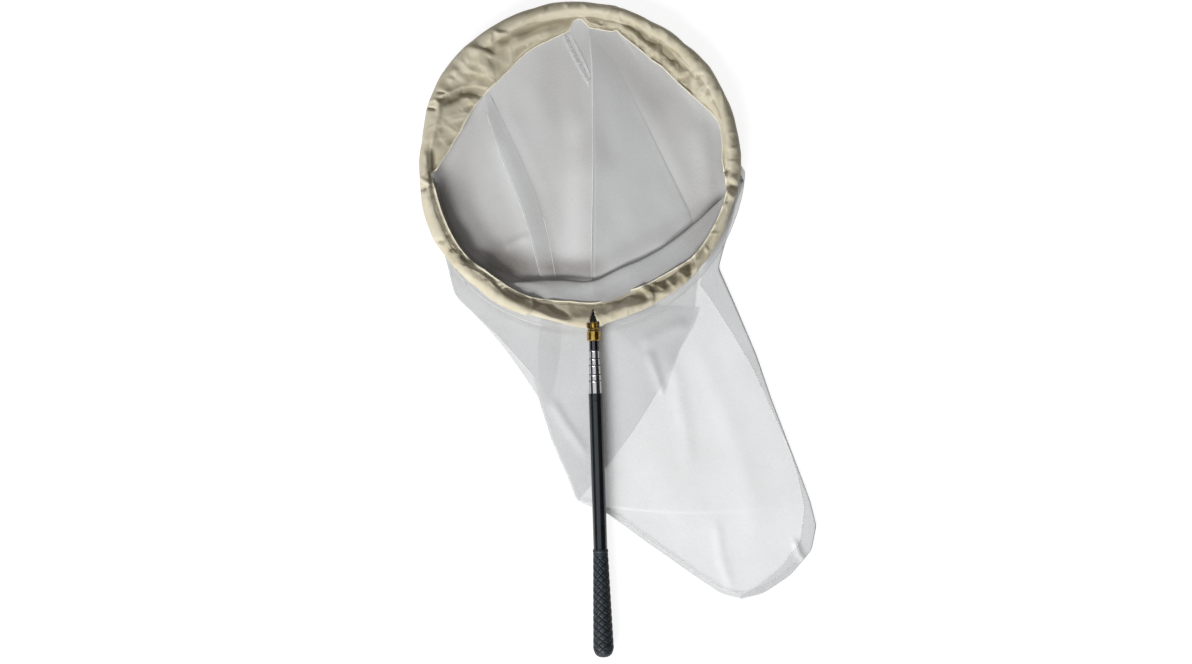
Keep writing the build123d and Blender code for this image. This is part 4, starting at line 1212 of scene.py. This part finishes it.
knot = stitches("centre_seam_end", resample(knot_line, 50), lambda x, y: 0 * x + 4.9, 1.5, 0, 0.26, MAT["white_thread"], 3.2)
for o in (centre, centre_thread, centre_edge, knot):
    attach(o, "net_head")
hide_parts("bag_centre_seam")

i76, i99 = int(0.765 * ROWS), int(0.995 * ROWS)
EDGE = np.vstack([LEFT[i76:i99], RIGHT[::-1][ROWS - i99:ROWS - int(0.90 * ROWS)]])
centre_pt = np.array([(78.6, -176.0)][0])
EDGE = resample(EDGE, 160)
d_in = centre_pt[None] - EDGE
d_in /= np.linalg.norm(d_in, axis=1)[:, None]
tan = np.gradient(EDGE, axis=0)
nrm = np.stack([-tan[:, 1], tan[:, 0]], 1)
nrm /= np.linalg.norm(nrm, axis=1)[:, None]
nrm *= np.sign((nrm * d_in).sum(1))[:, None]
INNER = smooth(EDGE + nrm * 7.0, 3)
u_z = lambda x, y: bag_z(x, y) + 4.2 * GAP
edge_band = ribbon("bag_edge_seam_band", EDGE + nrm * 0.8, INNER, 160, 6, lambda x, y: bag_z(x, y) + 1.2 * GAP, MAT["seam"])
edge_thread = stitches("edge_overlock", smooth(EDGE + nrm * 5.4, 2), lambda x, y: bag_z(x, y) + 1.9 * GAP, 2.0, 0, 0.2, MAT["white_thread"], 3.4)
i16, i92 = int(0.29 * ROWS), int(0.93 * ROWS)
side_stitch = stitches("side_seam_stitch", resample(SEAM[i16:i92], 200), u_z, 3.6, 2.3, 0.24, MAT["white_thread"])
end_stitch = stitches("end_seam_stitch", INNER, u_z, 3.4, 2.2, 0.2, MAT["white_thread"])
for o in (edge_band, edge_thread, side_stitch, end_stitch):
    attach(o, "net_head")
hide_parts("bag_edge_seam")

# ======================================================================================
# The rolled mouths of the telescoping tubes
# ======================================================================================
# the rolled mouths are real; their dark colour is painted shade
def mouth_ring(name, body, y, r_in, r_out):
    prof = [(r_in, y + 0.55), (r_in + 0.12, y + 0.70), (r_out - 0.05, y + 0.62), (r_out + 0.09, y + 0.30), (r_out + 0.10, y - 0.15),
            (r_out + 0.05, y - 0.45), (r_out - 0.05, y - 0.50), (r_in, y - 0.50)]
    na = 64
    a = np.linspace(0, 2 * np.pi, na, endpoint=False)
    P_ = np.array([[(HX + r * math.cos(t), yy, AZ + r * math.sin(t)) for t in a] for r, yy in prof])
    k = len(prof)
    f_ = [(i * na + j, i * na + (j + 1) % na, ((i + 1) % k) * na + (j + 1) % na, ((i + 1) % k) * na + j) for i in range(k) for j in range(na)]
    ob = make(name, P_.reshape(-1, 3), f_, MAT["mouth"])
    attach(ob, body)


_st = [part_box(f"stage_tube_{k}") for k in range(1, 7)]
for k in range(1, 6):
    r_in = (_st[k - 1][1][0] - _st[k - 1][0][0]) / 2 * 1000 + 0.03
    r_out = (_st[k][1][0] - _st[k][0][0]) / 2 * 1000
    mouth_ring(f"stage_mouth_{k + 1}", f"stage_{k + 1}", _st[k][1][1] * 1000, r_in, r_out)

# ======================================================================================
# Grip with raised diamonds
# ======================================================================================
g0, g1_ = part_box("grip")
GY0, GY1 = g0[1] * 1000, g1_[1] * 1000
GR = (g1_[0] - g0[0]) / 2 * 1000


def grip_mesh():
    na, ny = 264, 560
    a = np.linspace(0, 2 * np.pi, na, endpoint=False)
    prof_y = [GY1, GY1 - 0.3, GY1 - 1.2, GY1 - 3.0, GY1 - 4.2, GY1 - 6.0, GY1 - 40, GY0 + 11.5, GY0 + 7.5, GY0 + 4.4, GY0 + 2.2, GY0 + 0.8, GY0 + 0.05]
    prof_r = [8.05, 8.55, 8.85, 8.9, 8.45, 8.7, 9.7, GR - 0.05, GR - 0.7, GR - 2.2, GR - 4.3, GR - 6.9, 0.6]
    y = np.linspace(GY1, GY0 + 0.05, ny)
    order = np.argsort(prof_y)
    r = np.interp(y, np.array(prof_y)[order], np.array(prof_r)[order])
    L = GY1 - GY0
    s = (GY1 - y)
    A, S = np.meshgrid(a, s)
    k = 6.0
    pitch = 8.4
    p = (A * k / (2 * np.pi) + S / pitch)
    q_ = (A * k / (2 * np.pi) - S / pitch)
    tri = lambda x: np.abs((x % 1.0) - 0.5) * 2.0          # 1 in the groove's middle line
    groove = np.maximum(np.clip((tri(p) - 0.80) / 0.20, 0, 1), np.clip((tri(q_) - 0.80) / 0.20, 0, 1))
    groove = groove * groove * (3 - 2 * groove)
    inner = np.minimum(1 - tri(p), 1 - tri(q_))
    ridge_ = np.clip((inner - 0.34) / 0.12, 0, 1)
    ends = np.clip((S - 5.5) / 2.5, 0, 1) * np.clip((L - 3.0 - S) / 3.0, 0, 1)
    R = r[:, None] - ends * 0.95 * groove - ends * 0.18 * (1 - ridge_) * (1 - groove)
    R += 0.05 * value_noise(A * 12, S, 3.0, 61) * ends
    X = HX + R * np.cos(A)
    Z = AZ + R * np.sin(A)
    Y = GY1 - S
    vs = np.stack([X, Y, Z], -1).reshape(-1, 3)
    f_ = []
    i = np.arange(ny - 1)[:, None]
    j = np.arange(na)[None, :]
    f_ = np.stack([i * na + j, i * na + (j + 1) % na, (i + 1) * na + (j + 1) % na, (i + 1) * na + j], -1).reshape(-1, 4).tolist()
    f_.append(tuple((ny - 1) * na + k_ for k_ in range(na)))
    # the front ring closes in on the tube
    base = len(vs)
    ring_in = np.stack([HX + 8.0 * np.cos(a), np.full(na, GY1), AZ + 8.0 * np.sin(a)], 1)
    vs = np.vstack([vs, ring_in])
    f_ += [(base + k_, base + (k_ + 1) % na, (k_ + 1) % na, k_) for k_ in range(na)]
    ob = make("rubber_grip", vs, f_, MAT["grip"])
    # the mask of the painted shade in the grooves
    attribute(ob, "groove", np.concatenate([(ends * np.clip(groove * 1.6, 0, 1)).ravel(), np.zeros(na)]))
    return ob


grip = grip_mesh()
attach(grip, "handle")
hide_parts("grip")

# ======================================================================================
# Floor, light, camera
# ======================================================================================
fm = Mat("floor_white", Roughness=0.9, Specular_IOR_Level=0.1)
fm.link(fm.ramp(fm.noise(3.0, 2.0), [(0.3, (0.17, 0.17, 0.17)), (0.7, (0.18, 0.18, 0.18))]), fm.b.inputs["Base Color"])
fm.b.inputs["Emission Color"].default_value = (1, 1, 1, 1)
fm.b.inputs["Emission Strength"].default_value = 0.87
floor = make("floor", [(-6000, -6000, -0.05), (6000, -6000, -0.05), (6000, 6000, -0.05), (-6000, 6000, -0.05)], [(0, 1, 2, 3)], fm.m, False)


def area_light(name, loc, target, size, power, colour=(1, 1, 1)):
    ld = bpy.data.lights.new(name, "AREA")
    ld.shape = "RECTANGLE"
    ld.size, ld.size_y = size
    ld.energy = power
    ld.color = colour
    ob = bpy.data.objects.new(name, ld)
    ob.location = loc
    from mathutils import Vector
    ob.rotation_euler = (Vector(target) - Vector(loc)).to_track_quat("-Z", "Y").to_euler()
    bpy.context.scene.collection.objects.link(ob)
    return ob


area_light("window", (-1.35, -2.15, 1.72), (0, 0.02, 0), (1.9, 1.1), 166.0, (0.985, 1.0, 1.02))
# a softbox overhead in a dim room with a pale horizon
world = bpy.data.worlds.new("world")
bpy.context.scene.world = world
world.use_nodes = True
wt = world.node_tree
bg = wt.nodes["Background"]
bg.inputs[1].default_value = 1.0
wco = wt.nodes.new("ShaderNodeTexCoord")
wsep = wt.nodes.new("ShaderNodeSeparateXYZ")
wt.links.new(wco.outputs["Generated"], wsep.inputs[0])


def wramp(src_, stops):
    r = wt.nodes.new("ShaderNodeValToRGB")
    e = r.color_ramp.elements
    while len(e) < len(stops):
        e.new(0.5)
    for el, (p_, v_) in zip(e, stops):
        el.position = p_
        el.color = (v_, v_, v_, 1.0)
    wt.links.new(src_, r.inputs["Fac"])
    return r.outputs["Color"]


def wmath(op, a_, b_):
    n_ = wt.nodes.new("ShaderNodeMath")
    n_.operation = op
    for i_, v_ in enumerate((a_, b_)):
        if isinstance(v_, (int, float)):
            n_.inputs[i_].default_value = v_
        else:
            wt.links.new(v_, n_.inputs[i_])
    return n_.outputs[0]


lean = wmath("ADD", wmath("MULTIPLY", wsep.outputs[2], 0.961), wmath("MULTIPLY", wsep.outputs[0], -0.276))
sky = wramp(lean, [(0.0, 0.0), (0.10, 0.0), (0.80, 0.0), (0.90, 1.05)])
side = wmath("MULTIPLY", wmath("MULTIPLY", wsep.outputs[1], wsep.outputs[1]), 0.30)
room = wmath("ADD", side, 0.035)
rgb = wt.nodes.new("ShaderNodeCombineXYZ")
for i_, (cool_, warm_) in enumerate(((0.98, 1.0), (1.0, 0.92), (1.03, 0.77))):
    wt.links.new(wmath("MAXIMUM", wmath("MULTIPLY", sky, cool_), wmath("MULTIPLY", room, warm_)), rgb.inputs[i_])
wt.links.new(rgb.outputs[0], bg.inputs[0])

cam_d = bpy.data.cameras.new("camera")
cam = bpy.data.objects.new("camera", cam_d)
bpy.context.scene.collection.objects.link(cam)
H = 3.6
cam_d.sensor_width = 36.0
cam_d.lens = 36.0 * (H - 0.012) / 1.3708
cam_d.clip_end = 50
cam.location = (-0.02416, -0.00255, H)
cam.rotation_euler = (0, 0, math.radians(-1.78))
bpy.context.scene.camera = cam
bpy.context.scene.view_settings.view_transform = "Standard"
bpy.context.scene.cycles.transparent_max_bounces = 32
bpy.context.scene.cycles.max_bounces = 10
